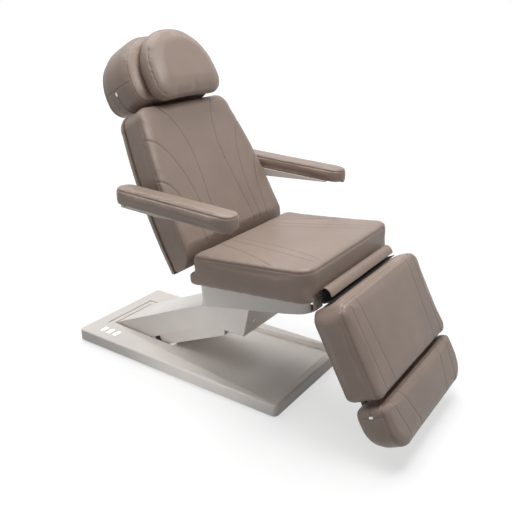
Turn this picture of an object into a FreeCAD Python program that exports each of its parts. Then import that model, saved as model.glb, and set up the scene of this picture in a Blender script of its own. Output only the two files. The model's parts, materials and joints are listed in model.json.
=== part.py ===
import FreeCAD, Part
import math
import os
import Sketcher

# Powered treatment bed: a moulded base, a covered parallelogram lift, and a seat
# that carries a reclining back with head rest and arm rests, and a leg rest with
# a sliding foot end. X runs along the bed to the foot end, Z is up, the floor is Z 0.

V = FreeCAD.Vector
doc = FreeCAD.newDocument("TreatmentBed")
sheet = doc.addObject("Spreadsheet::Sheet", "Sizes")


class Dim:
    """A length that knows its value and the sheet expression that gives it."""

    def __init__(self, value, text):
        self.value = value
        self.text = text

    def __float__(self):
        return float(self.value)

    def __neg__(self):
        return Dim(-self.value, "-(%s)" % self.text)

    def __add__(self, other):
        other = as_dim(other)
        return Dim(self.value + other.value, "(%s + %s)" % (self.text, other.text))

    def __sub__(self, other):
        other = as_dim(other)
        return Dim(self.value - other.value, "(%s - %s)" % (self.text, other.text))

    def __mul__(self, other):
        other = as_dim(other)
        return Dim(self.value * other.value, "(%s * %s)" % (self.text, other.text))

    def __truediv__(self, other):
        other = as_dim(other)
        return Dim(self.value / other.value, "(%s / %s)" % (self.text, other.text))

    __radd__ = __add__
    __rmul__ = __mul__


def as_dim(number):
    return number if isinstance(number, Dim) else Dim(float(number), repr(float(number)))


# Driving sizes, in millimetres and degrees
SIZES = {
    "origin_ahead": 249.0,
    "overrun": 4.0, "pin_gap": 0.05, "soft_gap": 0.4,
    "base_length": 1064.0, "base_width": 520.0, "base_top": 57.0, "base_bottom": 8.0,
    "base_corner": 20.0, "base_edge": 7.0, "base_wall": 6.0, "cavity_top": 20.0,
    "valley_rear": 470.0, "valley_front": 496.0, "valley_rear_half": 140.0, "valley_front_half": 244.0,
    "valley_rear_floor": 54.0, "valley_front_floor": 30.0,
    "slot_rear": 446.0, "slot_front": 92.0, "slot_gap": 4.0,
    "glide_radius": 17.0, "glide_inset": 44.0, "glide_stud": 5.0,
    "lamp_length": 36.0, "lamp_width": 15.0, "lamp_depth": 5.0, "lamp_pitch": 38.0,
    "lamp_first": 434.0, "lamp_row": 196.0, "lamp_proud": 0.6,
    "frame_bar": 46.0, "frame_thick": 12.0, "frame_clear": 3.0, "tie_thick": 8.0,
    "inlet_width": 48.0, "inlet_height": 22.0, "inlet_depth": 22.0, "inlet_flange": 3.0,
    "arm_length": 500.0, "arm_angle": 24.0, "arm_pivot_back": 330.0, "arm_pivot_up": 75.0,
    "link_ahead": 100.0, "link_below": 45.0,
    "bar_height": 30.0, "bar_thick": 12.0, "arm_bar_row": 66.0, "link_bar_row": 48.0, "link_thick": 10.0,
    "bracket_row": 84.0, "bracket_thick": 10.0, "bracket_edge": 20.0, "bracket_top": 16.0,
    "bracket_nose": 13.0,
    "pin_radius": 8.0, "pin_head": 12.0, "pin_head_thick": 5.0,
    "cover_half": 115.0, "cover_wall": 4.0, "cover_top": 27.0, "cover_rear": 108.0, "cover_front": 38.0,
    "cover_side": 98.0, "cover_tail": 34.0,
    "tray_half": 110.0, "tray_bottom": 35.0, "tray_rise": 32.0, "tray_rear": 62.0, "tray_front": 62.0,
    "head_half": 121.0, "head_left": 44.0, "head_toe": 24.0, "head_bottom": 71.0, "head_right": 162.0,
    "head_flare": 22.0, "head_wall": 4.0, "head_top": 122.0, "head_screw_radius": 6.5, "head_screw_row": 75.0,
    "head_screw_up": 60.0,
    "seat_ahead": 64.0, "seat_above": 313.6, "seat_tilt": 5.4,
    "seat_length": 496.0, "seat_width": 632.0, "seat_thick": 95.0, "seat_skirt": 20.0, "seat_crown": 4.0,
    "rear_round": 14.0, "seat_corner": 24.0, "ear_row": 176.0, "ear_behind": 19.0, "ear_top": 67.0,
    "ear_corner": 16.0, "ear_join": 40.0, "crank_notch": 14.0, "crank_notch_high": 26.0,
    "board_thick": 12.0, "board_inset": 14.0, "board_edge": 26.0,
    "rail_width": 25.0, "rail_height": 25.0, "rail_row": 110.0, "rail_rear": 20.0, "rail_front": 30.0,
    "pan_inset": 38.0, "pan_wall": 4.0, "pan_rear_deep": 104.0, "pan_front_deep": 52.0, "pan_front": 26.0,
    "pan_corner": 46.0, "pan_corner_wall": 16.0, "pan_step": 372.0, "pan_step_deep": 66.0,
    "back_hinge_behind": 34.0, "back_hinge_below": 62.0, "leg_hinge_behind": 20.0, "leg_hinge_below": 117.0,
    "hinge_pin_half": 150.0, "knuckle_row": 135.0, "knuckle_thick": 10.0, "knuckle_radius": 16.0,
    "back_angle": 61.6, "back_low": 5.0, "back_high": 605.0, "back_face": 60.0, "back_rear": 50.0,
    "back_low_half": 317.0, "back_mid_half": 308.0, "back_high_half": 267.0, "back_corner": 58.0,
    "back_cut_high": 76.0, "back_cut_deep": 22.0, "shell_thick": 16.0, "shell_inset": 2.0,
    "back_rail_thick": 20.0, "back_rail_low": 40.0, "back_rail_high": 560.0, "notch_high": 67.0,
    "arm_axle_up": 302.0, "arm_axle_radius": 10.0, "arm_rest_row": 367.0, "arm_rest_width": 88.0,
    "arm_rest_front": 494.0, "arm_rest_rear": 30.0, "arm_rest_thick": 52.0, "arm_skirt": 8.0,
    "arm_rest_tilt": 2.4,
    "arm_cover_deep": 30.0, "arm_cover_toe": 4.0, "arm_cover_half": 26.0, "arm_cover_short": 62.0,
    "arm_cover_in": 18.0, "arm_cover_flat": 150.0,
    "arm_pad_above": 14.0,
    "post_row": 90.0, "post_radius": 7.0, "post_low": 400.0, "post_high": 632.0, "sleeve_wall": 2.9,
    "sleeve_long": 90.0, "cross_radius": 6.0,
    "head_low": 608.0, "head_high": 880.0, "head_rest_half": 226.0, "head_face": 56.0, "head_rear": 126.0,
    "pocket_front": 58.0, "pocket_rear": 94.0, "pocket_side": 16.0, "pocket_swing": 12.0,
    "head_arch": 190.0, "head_foot_corner": 60.0, "head_plate": 5.0,
    "pillow_low": 590.0, "pillow_high": 868.0, "pillow_half": 192.0, "pillow_thick": 88.0,
    "pillow_arch": 180.0, "pillow_foot_corner": 60.0,
    "leg_angle": 61.7, "leg_start": 23.0, "leg_length": 343.0, "leg_half": 307.0, "leg_face": 119.0,
    "leg_under": 4.0, "leg_skirt": 12.0, "leg_corner": 26.0, "leg_bar_start": 62.0,
    "foot_gap": 3.0, "foot_length": 182.0, "foot_half": 307.0, "foot_under": 6.0, "foot_corner": 26.0,
    "foot_toe_corner": 88.0, "runner_row": 170.0, "runner_size": 16.0, "runner_back": 150.0,
    "flap_long": 38.0, "flap_thick": 8.0, "flap_half": 242.0, "flap_below": 80.0, "flap_ahead": 24.0,
    "flap_tuck": 1.7, "soft_edge": 60.0, "tray_rib": 150.0,
    "motor_radius": 24.0, "motor_row": 170.0, "motor_box": 96.0, "tube_radius": 19.0, "rod_radius": 10.0,
    "rod_gap": 0.4, "eye_wide": 24.0, "eye_open": 18.0, "eye_outer": 26.0, "tail_outer": 18.0,
    "back_tail_ahead": 300.0, "back_tail_below": 147.0, "back_crank": 88.0, "back_crank_angle": 117.0,
    "leg_tail_behind": 376.0, "leg_tail_below": 150.0, "leg_crank": 50.0, "leg_crank_angle": 150.0,
    "rod_stroke": 110.0, "lift_inside": 100.0, "back_inside": 45.0, "leg_inside": 65.0,
}


class Sizes:
    pass


size = Sizes()
for row, (name, number) in enumerate(SIZES.items(), start=1):
    sheet.set("A%d" % row, name)
    sheet.set("B%d" % row, str(number))
    sheet.setAlias("B%d" % row, name)
doc.recompute()
for name in SIZES:
    setattr(size, name, Dim(float(sheet.get(name)), "Sizes.%s" % name))

NODES = []


def mm(dim):
    return float(dim)


def keep(part, label, frame):
    """Name a finished sub-part and put it in its place."""
    part.Label = label
    part.Placement = frame
    NODES.append(part)
    return part


def turned(x, z, degrees):
    """A frame at X, Z whose own X axis points that many degrees above the horizontal."""
    return FreeCAD.Placement(V(x, 0, z), FreeCAD.Rotation(V(0, 1, 0), -degrees))


def primitive(kind, **sizes):
    part = doc.addObject("Part::" + kind, kind)
    place = sizes.pop("at", (0, 0, 0))
    axis = sizes.pop("axis", None)
    turn = FreeCAD.Rotation(V(0, 0, 1), axis) if axis else FreeCAD.Rotation()
    part.Placement = FreeCAD.Placement(V(*(mm(p) for p in place)), turn)
    for axis_name, coordinate in zip("xyz", place):
        if isinstance(coordinate, Dim):
            part.setExpression(".Placement.Base." + axis_name, coordinate.text)
    for key, dim in sizes.items():
        part.setExpression(key, as_dim(dim).text)
    return part


def box(x, y, z, long, wide, high):
    return primitive("Box", Length=long, Width=wide, Height=high, at=(x, y, z))


def rod_y(x, y, z, radius, long):
    """A round bar that runs towards +Y."""
    return primitive("Cylinder", Radius=radius, Height=long, at=(x, y, z), axis=V(0, 1, 0))


def rod_x(x, y, z, radius, long):
    return primitive("Cylinder", Radius=radius, Height=long, at=(x, y, z), axis=V(1, 0, 0))


def rod_z(x, y, z, radius, long):
    return primitive("Cylinder", Radius=radius, Height=long, at=(x, y, z))


def fuse(*parts):
    joined = doc.addObject("Part::MultiFuse", "Fuse")
    joined.Shapes = list(parts)
    joined.Refine = True
    return joined


def cut(base, *tools):
    tool = tools[0] if len(tools) == 1 else fuse(*tools)
    piece = doc.addObject("Part::Cut", "Cut")
    piece.Base = base
    piece.Tool = tool
    return piece


def group(*parts):
    pieces = doc.addObject("Part::Compound", "Group")
    pieces.Links = list(parts)
    return pieces


def new_body(name):
    body = doc.addObject("PartDesign::Body", name)
    doc.recompute()
    return body


def new_sketch(body, role, offset=None):
    sketch = body.newObject("Sketcher::SketchObject", body.Name + "Sketch")
    plane = [f for f in body.Origin.OriginFeatures if f.Role == role][0]
    sketch.AttachmentSupport = (plane, [""])
    sketch.MapMode = "FlatFace"
    if offset is not None:
        sketch.AttachmentOffset = FreeCAD.Placement(V(0, 0, mm(offset)), FreeCAD.Rotation())
        sketch.setExpression(".AttachmentOffset.Base.z", offset.text)
    return sketch


def fix_point(sketch, line, end, point):
    for kind, axis, coordinate in (("DistanceX", -2, point[0]), ("DistanceY", -1, point[1])):
        if mm(coordinate) == 0:
            sketch.addConstraint(Sketcher.Constraint("PointOnObject", line, end, axis))
        else:
            index = sketch.addConstraint(Sketcher.Constraint(kind, line, end, mm(coordinate)))
            sketch.setExpression("Constraints[%d]" % index, as_dim(coordinate).text)


def polygon(body, role, points, offset=None):
    """A closed outline whose corners are all driven by the sheet."""
    sketch = new_sketch(body, role, offset)
    corners = [V(mm(p[0]), mm(p[1]), 0) for p in points]
    count = len(points)
    for i in range(count):
        sketch.addGeometry(Part.LineSegment(corners[i], corners[(i + 1) % count]))
    for i in range(count):
        sketch.addConstraint(Sketcher.Constraint("Coincident", i, 2, (i + 1) % count, 1))
    for i in range(count):
        fix_point(sketch, i, 1, points[i])
    return sketch


def circles(body, role, centres, radius, offset=None):
    sketch = new_sketch(body, role, offset)
    for i, centre in enumerate(centres):
        middle = V(mm(centre[0]), mm(centre[1]), 0)
        sketch.addGeometry(Part.Circle(middle, V(0, 0, 1), mm(radius)))
        fix_point(sketch, i, 3, centre)
        index = sketch.addConstraint(Sketcher.Constraint("Radius", i, mm(radius)))
        sketch.setExpression("Constraints[%d]" % index, radius.text)
    return sketch


def pad(body, sketch, length, middle=False, other_way=False):
    feature = body.newObject("PartDesign::Pad", body.Name + "Pad")
    feature.Profile = sketch
    feature.Midplane = middle
    feature.Reversed = other_way
    feature.setExpression("Length", length.text)
    doc.recompute()
    return feature


def pocket(body, sketch, length=None, middle=False, other_way=False):
    before = body.Shape.Volume
    feature = body.newObject("PartDesign::Pocket", body.Name + "Pocket")
    feature.Profile = sketch
    feature.Midplane = middle
    feature.Reversed = other_way
    if length is None:
        feature.Type = "ThroughAll"
    else:
        feature.setExpression("Length", length.text)
    doc.recompute()
    if body.Shape.Volume >= before:
        raise RuntimeError("a pocket in %s cuts nothing" % body.Name)
    return feature


def round_edges(body, feature, radius, wanted):
    names = ["Edge%d" % (i + 1) for i, edge in enumerate(feature.Shape.Edges) if wanted(edge)]
    fillet = body.newObject("PartDesign::Fillet", body.Name + "Fillet")
    fillet.Base = (feature, names)
    fillet.setExpression("Radius", radius.text)
    doc.recompute()
    return fillet


def is_upright(edge):
    low, high = edge.Vertexes[0].Point, edge.Vertexes[-1].Point
    return abs(low.z - high.z) > abs(low.x - high.x) + abs(low.y - high.y)


def lies_at(level):
    def test(edge):
        return all(abs(v.Z - level) < mm(size.pin_gap) for v in edge.Vertexes)
    return test


def rectangle(low_x, high_x, low_y, high_y):
    return [(low_x, low_y), (high_x, low_y), (high_x, high_y), (low_x, high_y)]


# Frames: where each body stands at rest
arm_x = -mm(size.arm_pivot_back) - mm(size.origin_ahead)
arm_z = mm(size.arm_pivot_up)
link_x = arm_x + mm(size.link_ahead)
link_z = arm_z - mm(size.link_below)
arm_turn = math.radians(mm(size.arm_angle))
head_x = arm_x + mm(size.arm_length) * math.cos(arm_turn)
head_z = arm_z + mm(size.arm_length) * math.sin(arm_turn)
BASE = turned(-mm(size.origin_ahead), 0, 0)
ARM = turned(arm_x, arm_z, mm(size.arm_angle))
LINK = turned(link_x, link_z, mm(size.arm_angle))
HEAD = turned(head_x, head_z, 0)
SEAT = turned(head_x + mm(size.seat_ahead), head_z + mm(size.seat_above), mm(size.seat_tilt))
seat_turn = math.radians(mm(size.seat_tilt))
hinge_ahead = size.seat_length - size.leg_hinge_behind
back_at = SEAT.multVec(V(-mm(size.back_hinge_behind), 0, -mm(size.back_hinge_below)))
leg_at = SEAT.multVec(V(mm(hinge_ahead), 0, -mm(size.leg_hinge_below)))
BACK = turned(back_at.x, back_at.z, 90 - mm(size.back_angle))
LEG = turned(leg_at.x, leg_at.z, -mm(size.leg_angle))
axle_behind = size.back_rear + size.shell_thick + size.back_rail_thick / 2
axle_at = BACK.multVec(V(-mm(axle_behind), 0, mm(size.arm_axle_up)))
ARM_REST = turned(axle_at.x, axle_at.z, -mm(size.arm_rest_tilt))


# Base: moulded cover with a sloping valley, a front lip and the slot for the lift arm
half_length = size.base_length / 2
half_width = size.base_width / 2
cover = new_body("BaseCover")
slab = pad(cover, polygon(cover, "XY_Plane", rectangle(-half_length, half_length, -half_width, half_width),
                          size.base_bottom), size.base_top - size.base_bottom)
slab = round_edges(cover, slab, size.base_corner, is_upright)
slab = round_edges(cover, slab, size.base_edge, lies_at(mm(size.base_top)))
valley = cover.newObject("PartDesign::SubtractiveLoft", "Valley")
above = size.base_top + size.overrun
rear_cut = polygon(cover, "YZ_Plane", rectangle(-size.valley_rear_half, size.valley_rear_half,
                                                size.valley_rear_floor, above), -size.valley_rear)
front_cut = polygon(cover, "YZ_Plane", rectangle(-size.valley_front_half, size.valley_front_half,
                                                 size.valley_front_floor, above), size.valley_front)
valley.Profile = rear_cut
valley.Sections = [front_cut]
valley.Ruled = True
doc.recompute()
cavity_x = half_length - size.base_wall
cavity_y = half_width - size.base_wall
hollow = rectangle(-cavity_x, cavity_x, -cavity_y, cavity_y)
pocket(cover, polygon(cover, "XY_Plane", hollow, size.cavity_top), size.cavity_top)
slot_half = size.cover_half + size.slot_gap
pocket(cover, polygon(cover, "XY_Plane", rectangle(-size.slot_rear, -size.slot_front, -slot_half, slot_half),
                      above), above)
lamp_half = size.lamp_length / 2
lamp_edge = size.lamp_width / 2
lamp_places = [-size.lamp_first + size.lamp_pitch * i for i in range(3)]
for place in lamp_places:
    outline = rectangle(place - lamp_edge, place + lamp_edge, -size.lamp_row - lamp_half,
                        -size.lamp_row + lamp_half)
    pocket(cover, polygon(cover, "XY_Plane", outline, above), size.lamp_depth + size.overrun)
inlet_half = size.inlet_width / 2
inlet_low = size.base_bottom + size.base_wall
inlet_hole = rectangle(-inlet_half, inlet_half, inlet_low, inlet_low + size.inlet_height)
pocket(cover, polygon(cover, "YZ_Plane", inlet_hole, -half_length - size.overrun),
       size.inlet_depth + size.overrun, other_way=True)
keep(cover, "base_cover", BASE)

# Light windows: three rounded lenses set in the near rear corner of the base
lenses = []
for place in lamp_places:
    lens = box(place - lamp_edge + size.pin_gap, -size.lamp_row - lamp_half + size.pin_gap,
               size.base_top - size.lamp_depth, size.lamp_width - size.pin_gap * 2,
               size.lamp_length - size.pin_gap * 2, size.lamp_depth + size.lamp_proud)
    lenses.append(lens)
keep(group(*lenses), "base_light_windows", BASE)

# Mains inlet: an open appliance socket in the rear wall
inlet_body = cut(
    box(-half_length, -inlet_half + size.pin_gap, inlet_low + size.pin_gap, size.inlet_depth,
        size.inlet_width - size.pin_gap * 2, size.inlet_height - size.pin_gap * 2),
    box(-half_length - size.overrun, -inlet_half + size.inlet_flange, inlet_low + size.inlet_flange,
        size.inlet_depth + size.overrun - size.inlet_flange, size.inlet_width - size.inlet_flange * 2,
        size.inlet_height - size.inlet_flange * 2))
keep(inlet_body, "mains_inlet", BASE)

# Welded base frame: flat bars round the edge and two cross bars, open where the arm drops in
frame_x = cavity_x - size.frame_clear
frame_y = cavity_y - size.frame_clear
frame_low = size.base_bottom
frame_body = new_body("BaseFrame")
frame_rear = -frame_x + size.inlet_depth
pad(frame_body, polygon(frame_body, "XY_Plane", rectangle(frame_rear, frame_x, -frame_y, frame_y), frame_low),
    size.frame_thick)
window_y = frame_y - size.frame_bar
for low_x, high_x in ((frame_rear + size.frame_bar, -size.slot_front),
                      (-size.slot_front + size.frame_bar, frame_x - size.frame_bar)):
    window = polygon(frame_body, "XY_Plane", rectangle(low_x, high_x, -window_y, window_y), size.cavity_top)
    pocket(frame_body, window, size.cavity_top)
keep(frame_body, "base_frame", BASE)

# Rubber feet: four round glides with a stud into the frame
feet = []
for side_x in (-1, 1):
    for side_y in (-1, 1):
        foot_x = (half_length - size.glide_inset) * side_x
        foot_y = (half_width - size.glide_inset) * side_y
        feet.append(primitive("Cone", Radius1=size.glide_radius - size.glide_stud, Radius2=size.glide_radius,
                              Height=size.base_bottom, at=(foot_x, foot_y, 0)))
keep(group(*feet), "rubber_feet", BASE)

# Pivot bracket: two plates on the frame that hold the two lower lift pins
pin_a = (-size.arm_pivot_back, size.arm_pivot_up)
pin_b = (-size.arm_pivot_back + size.link_ahead, size.arm_pivot_up - size.link_below)
plates = []
foot_level = size.base_bottom
bracket_spread = size.bracket_edge * 2
for side in (-1, 1):
    name = "BracketLeft" if side > 0 else "BracketRight"
    bracket = new_body(name)
    outline = [(pin_a[0] - bracket_spread, foot_level), (pin_b[0] + bracket_spread, foot_level),
               (pin_b[0] + bracket_spread, pin_b[1] + size.pin_radius),
               (pin_a[0] + size.bracket_nose, pin_a[1] + size.bracket_top),
               (pin_a[0] - size.bracket_nose, pin_a[1] + size.bracket_top)]
    row = size.bracket_row * side
    sketch = polygon(bracket, "XZ_Plane", outline, -row)
    pad(bracket, sketch, size.bracket_thick, middle=True)
    holes = circles(bracket, "XZ_Plane", [pin_a, pin_b], size.pin_radius + size.pin_gap, -row)
    pocket(bracket, holes, None, True)
    plates.append(bracket)
tie = box(pin_b[0] + bracket_spread - size.frame_thick, -window_y, foot_level, size.frame_thick, window_y * 2,
          size.tie_thick)
keep(fuse(*plates, tie), "pivot_bracket", BASE)


def headed_pin(half):
    """A plain pin along Y with a flat head at each end."""
    long = half * 2
    heads = [rod_y(0, -half - size.pin_head_thick, 0, size.pin_head, size.pin_head_thick),
             rod_y(0, half, 0, size.pin_head, size.pin_head_thick)]
    return fuse(rod_y(0, -half, 0, size.pin_radius, long), *heads)


pin_half = size.bracket_row + size.bracket_thick / 2 + size.pin_gap
keep(headed_pin(pin_half), "arm_lower_pin", turned(arm_x, arm_z, 0))
keep(headed_pin(pin_half), "link_lower_pin", turned(link_x, link_z, 0))


# Lift bars: two flat bars with an eye at each end, for the arm and for the parallel link
def lift_bars(row, thick):
    bars = []
    for side in (-1, 1):
        body = new_body("LiftBar")
        edge = size.bar_height / 2
        place = row * side
        outline = rectangle(0, size.arm_length, -edge, edge)
        pad(body, polygon(body, "XZ_Plane", outline, -place), thick, middle=True)
        eyes = [(0, 0), (size.arm_length, 0)]
        pad(body, circles(body, "XZ_Plane", eyes, edge, -place), thick, middle=True)
        holes = circles(body, "XZ_Plane", eyes, size.pin_radius + size.pin_gap, -place)
        pocket(body, holes, None, True)
        bars.append(body)
    return bars


arm_tie_share = 0.3
link_tie_share = 0.5
arm_bars = lift_bars(size.arm_bar_row, size.bar_thick)
tie_long = size.arm_bar_row * 2 - size.bar_thick
tie_bar = rod_y(size.arm_length * arm_tie_share, -(tie_long / 2), size.pin_radius / 2, size.pin_radius,
                tie_long)
keep(fuse(*arm_bars, tie_bar), "lift_arm_bars", ARM)
link_bars = lift_bars(size.link_bar_row, size.link_thick)
link_tie_long = size.link_bar_row * 2 - size.link_thick
link_tie = rod_y(size.arm_length * link_tie_share, -(link_tie_long / 2), -(size.pin_radius / 2),
                 size.pin_radius / 2, link_tie_long)
keep(fuse(*link_bars, link_tie), "lift_link_bars", LINK)

# Upper arm cover: a long moulded channel over the arm bars, open below and at its front end
arm_cover = new_body("ArmCover")
cover_end = size.arm_length - size.cover_front
cover_low = size.cover_top - size.cover_side
outline = [(-size.cover_rear, size.cover_top - size.cover_tail),
           (-size.cover_rear, size.cover_top - size.cover_wall),
           (-size.cover_rear + size.cover_wall, size.cover_top), (cover_end, size.cover_top),
           (cover_end + size.cover_tail, cover_low), (size.link_ahead, cover_low),
           (-size.cover_rear / 2, size.cover_top - size.cover_tail * 2)]
pad(arm_cover, polygon(arm_cover, "XZ_Plane", outline), size.cover_half * 2, middle=True)
inner = [(-size.cover_rear + size.cover_wall, cover_low - size.overrun),
         (-size.cover_rear + size.cover_wall, size.cover_top - size.cover_wall),
         (cover_end + size.cover_side, size.cover_top - size.cover_wall),
         (cover_end + size.cover_side, cover_low - size.overrun)]
pocket(arm_cover, polygon(arm_cover, "XZ_Plane", inner), (size.cover_half - size.cover_wall) * 2, middle=True)
bar_edge = size.bar_height / 2
for place in (size.tray_rib, size.tray_rib * 2):
    rib = rectangle(place, place + size.cover_wall, bar_edge, size.cover_top - size.cover_wall)
    pad(arm_cover, polygon(arm_cover, "XZ_Plane", rib), (size.cover_half - size.cover_wall) * 2, middle=True)
keep(arm_cover, "arm_upper_cover", ARM)

# Lower arm tray: a shallow channel under the link bars that slides up inside the upper cover
tray = new_body("ArmTray")
tray_end = size.arm_length - size.tray_front
outline = [(size.tray_rear, -size.tray_bottom), (tray_end, -size.tray_bottom),
           (tray_end + size.tray_bottom, size.tray_rise), (size.tray_rear, size.tray_rise)]
pad(tray, polygon(tray, "XZ_Plane", outline), size.tray_half * 2, middle=True)
inner = rectangle(size.tray_rear - size.overrun, tray_end + size.tray_bottom + size.overrun,
                  -size.tray_bottom + size.cover_wall, size.tray_rise + size.overrun)
pocket(tray, polygon(tray, "XZ_Plane", inner), (size.tray_half - size.cover_wall) * 2, middle=True)
for place in (tray_end - size.tray_rib, tray_end):
    rib = rectangle(place - size.cover_wall, place, -size.tray_bottom + size.cover_wall, -bar_edge)
    pad(tray, polygon(tray, "XZ_Plane", rib), (size.tray_half - size.cover_wall) * 2, middle=True)
keep(tray, "arm_lower_tray", LINK)


def tilt_cos(dim):
    return Dim(mm(dim) * math.cos(seat_turn), "(%s * cos(Sizes.seat_tilt * 1 deg))" % dim.text)


def tilt_sin(dim):
    return Dim(mm(dim) * math.sin(seat_turn), "(%s * sin(Sizes.seat_tilt * 1 deg))" % dim.text)


def seat_point(along, below):
    """A point of the tilted seat, seen from the lift head's own level frame."""
    across = size.seat_ahead + tilt_cos(along) + tilt_sin(below)
    up = size.seat_above + tilt_sin(along) - tilt_cos(below)
    return (across, up)


# Lift head: two plates on the upper pins, tied by a top plate that the seat rails sit on
cushion_under = size.seat_thick + size.board_thick
rail_under = cushion_under + size.rail_height
plate_under = rail_under + size.frame_thick
plate_rear = -size.rail_rear
plate_front = size.link_ahead
lift_head = []
for side in (-1, 1):
    body = new_body("HeadPlate")
    row = -(size.bracket_row * side)
    outline = [(-size.bracket_edge, -size.bracket_edge),
               (size.link_ahead, -size.link_below - size.bracket_edge),
               (size.link_ahead + size.bracket_edge, -size.link_below), seat_point(plate_front, plate_under),
               seat_point(plate_rear, plate_under), (-size.bracket_edge, size.bracket_edge)]
    pad(body, polygon(body, "XZ_Plane", outline, row), size.bracket_thick, middle=True)
    holes = [(as_dim(0), as_dim(0)), (size.link_ahead, -size.link_below)]
    pocket(body, circles(body, "XZ_Plane", holes, size.pin_radius + size.pin_gap, row), None, True)
    lift_head.append(body)
top_plate = new_body("HeadTopPlate")
outline = [seat_point(plate_rear, plate_under), seat_point(plate_front, plate_under),
           seat_point(plate_front, rail_under), seat_point(plate_rear, rail_under)]
pad(top_plate, polygon(top_plate, "XZ_Plane", outline), size.rail_row * 2 + size.rail_width, middle=True)
keep(fuse(*lift_head, top_plate), "lift_head_bracket", HEAD)
keep(headed_pin(pin_half), "arm_upper_pin", HEAD)
keep(headed_pin(pin_half), "link_upper_pin",
     turned(head_x + mm(size.link_ahead), head_z - mm(size.link_below), 0))

# Lift head cover: a flared moulded box round the head, open to the arm and to the seat pan
pan_slope_share = (mm(size.pan_rear_deep) - mm(size.pan_front_deep)) / mm(size.seat_length - size.pan_front)


def pan_under(along):
    return cushion_under + size.pan_rear_deep - along * pan_slope_share + size.soft_gap


head_cover = new_body("HeadCover")
nose = seat_point(size.head_top, pan_under(size.head_top))
heel = seat_point(-size.head_top, pan_under(-size.head_top))
outline = [(size.head_toe, -size.head_bottom), (size.head_right, -size.head_bottom), nose, heel,
           (-size.head_left, as_dim(0))]
pad(head_cover, polygon(head_cover, "XZ_Plane", outline), size.head_half * 2, middle=True)
reach = size.head_right + size.head_flare
inner = [(-reach, -size.head_bottom - size.overrun),
         (size.link_ahead + size.overrun, -size.head_bottom - size.overrun),
         (size.link_ahead + size.overrun, -size.head_bottom + size.head_wall),
         (size.head_right - size.head_wall, -size.head_bottom + size.head_wall),
         (nose[0] - size.head_wall, nose[1]), (nose[0] - size.head_wall, nose[1] + size.head_flare),
         (-reach, nose[1] + size.head_flare)]
pocket(head_cover, polygon(head_cover, "XZ_Plane", inner), (size.head_half - size.head_wall) * 2, middle=True)
keep(head_cover, "lift_head_cover", HEAD)

# Cover screws: two button heads on the front of the lift head cover
lean_share = mm(nose[0] - size.head_right) / mm(nose[1] + size.head_bottom)
screw_x = size.head_right + size.head_screw_up * lean_share
screws = [primitive("Cylinder", Radius=size.head_screw_radius, Height=size.head_wall,
                    at=(screw_x + size.head_wall * lean_share, size.head_screw_row * side,
                        size.head_screw_up - size.head_bottom), axis=V(1, 0, -lean_share))
          for side in (-1, 1)]
keep(group(*screws), "head_cover_screws", HEAD)

# Seat frame: two box rails with cross tubes, hinge lugs at both ends and the motor tail pins
rail_end = size.seat_length - size.rail_front
hinge_back = (-size.back_hinge_behind, -size.back_hinge_below)
leg_tail_ahead = size.seat_length - size.leg_tail_behind
hinge_leg = (hinge_ahead, -size.leg_hinge_below)
frame_parts = []
for side in (-1, 1):
    body = new_body("SeatRail")
    row = -(size.rail_row * side)
    outline = [(hinge_back[0] - size.knuckle_radius, -rail_under), (rail_end, -rail_under),
               (hinge_leg[0], hinge_leg[1] - size.knuckle_radius),
               (hinge_leg[0], hinge_leg[1] + size.knuckle_radius),
               (rail_end - size.rail_front, -cushion_under), (as_dim(0), -cushion_under),
               (hinge_back[0] + size.knuckle_radius, hinge_back[1]),
               (hinge_back[0] - size.knuckle_radius, hinge_back[1])]
    lugs = [hinge_back, hinge_leg]
    pad(body, polygon(body, "XZ_Plane", outline, row), size.rail_width, middle=True)
    pad(body, circles(body, "XZ_Plane", lugs, size.knuckle_radius, row), size.rail_width, middle=True)
    pocket(body, circles(body, "XZ_Plane", lugs, size.pin_radius + size.pin_gap, row), None, True)
    frame_parts.append(body)
cross_half = size.rail_row - size.rail_width / 2
for along in (plate_rear, size.seat_length / 2, rail_end - size.rail_front):
    frame_parts.append(box(along, -cross_half, -rail_under, size.rail_width, cross_half * 2,
                           size.rail_height))
rail_outer = size.rail_row + size.rail_width / 2
tail_end = size.motor_row + size.eye_wide / 2 + size.pin_head_thick
tail_long = tail_end - cross_half
for ahead, below, lug_y, pin_y in ((size.back_tail_ahead, size.back_tail_below, cross_half, cross_half),
                                   (leg_tail_ahead, size.leg_tail_below, -rail_outer, -tail_end)):
    low = below + size.knuckle_radius
    frame_parts.append(box(ahead - size.knuckle_radius, lug_y, -low, size.knuckle_radius * 2, size.rail_width,
                           low - rail_under))
    frame_parts.append(rod_y(ahead, pin_y, -below, size.pin_radius, tail_long))
keep(fuse(*frame_parts), "seat_frame", SEAT)
keep(headed_pin(size.hinge_pin_half), "back_hinge_pin", turned(back_at.x, back_at.z, 0))
keep(headed_pin(size.hinge_pin_half), "leg_hinge_pin", turned(leg_at.x, leg_at.z, 0))

# Seat board: plywood on the rails under the cushion
half_seat = size.seat_width / 2
pan_half = half_seat - size.pan_inset
board = box(size.board_edge, -half_seat + size.board_edge * 2, -cushion_under,
            rail_end - size.rail_front - size.board_edge, size.seat_width - size.board_edge * 4,
            size.board_thick)
keep(group(board), "seat_board", SEAT)

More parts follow.
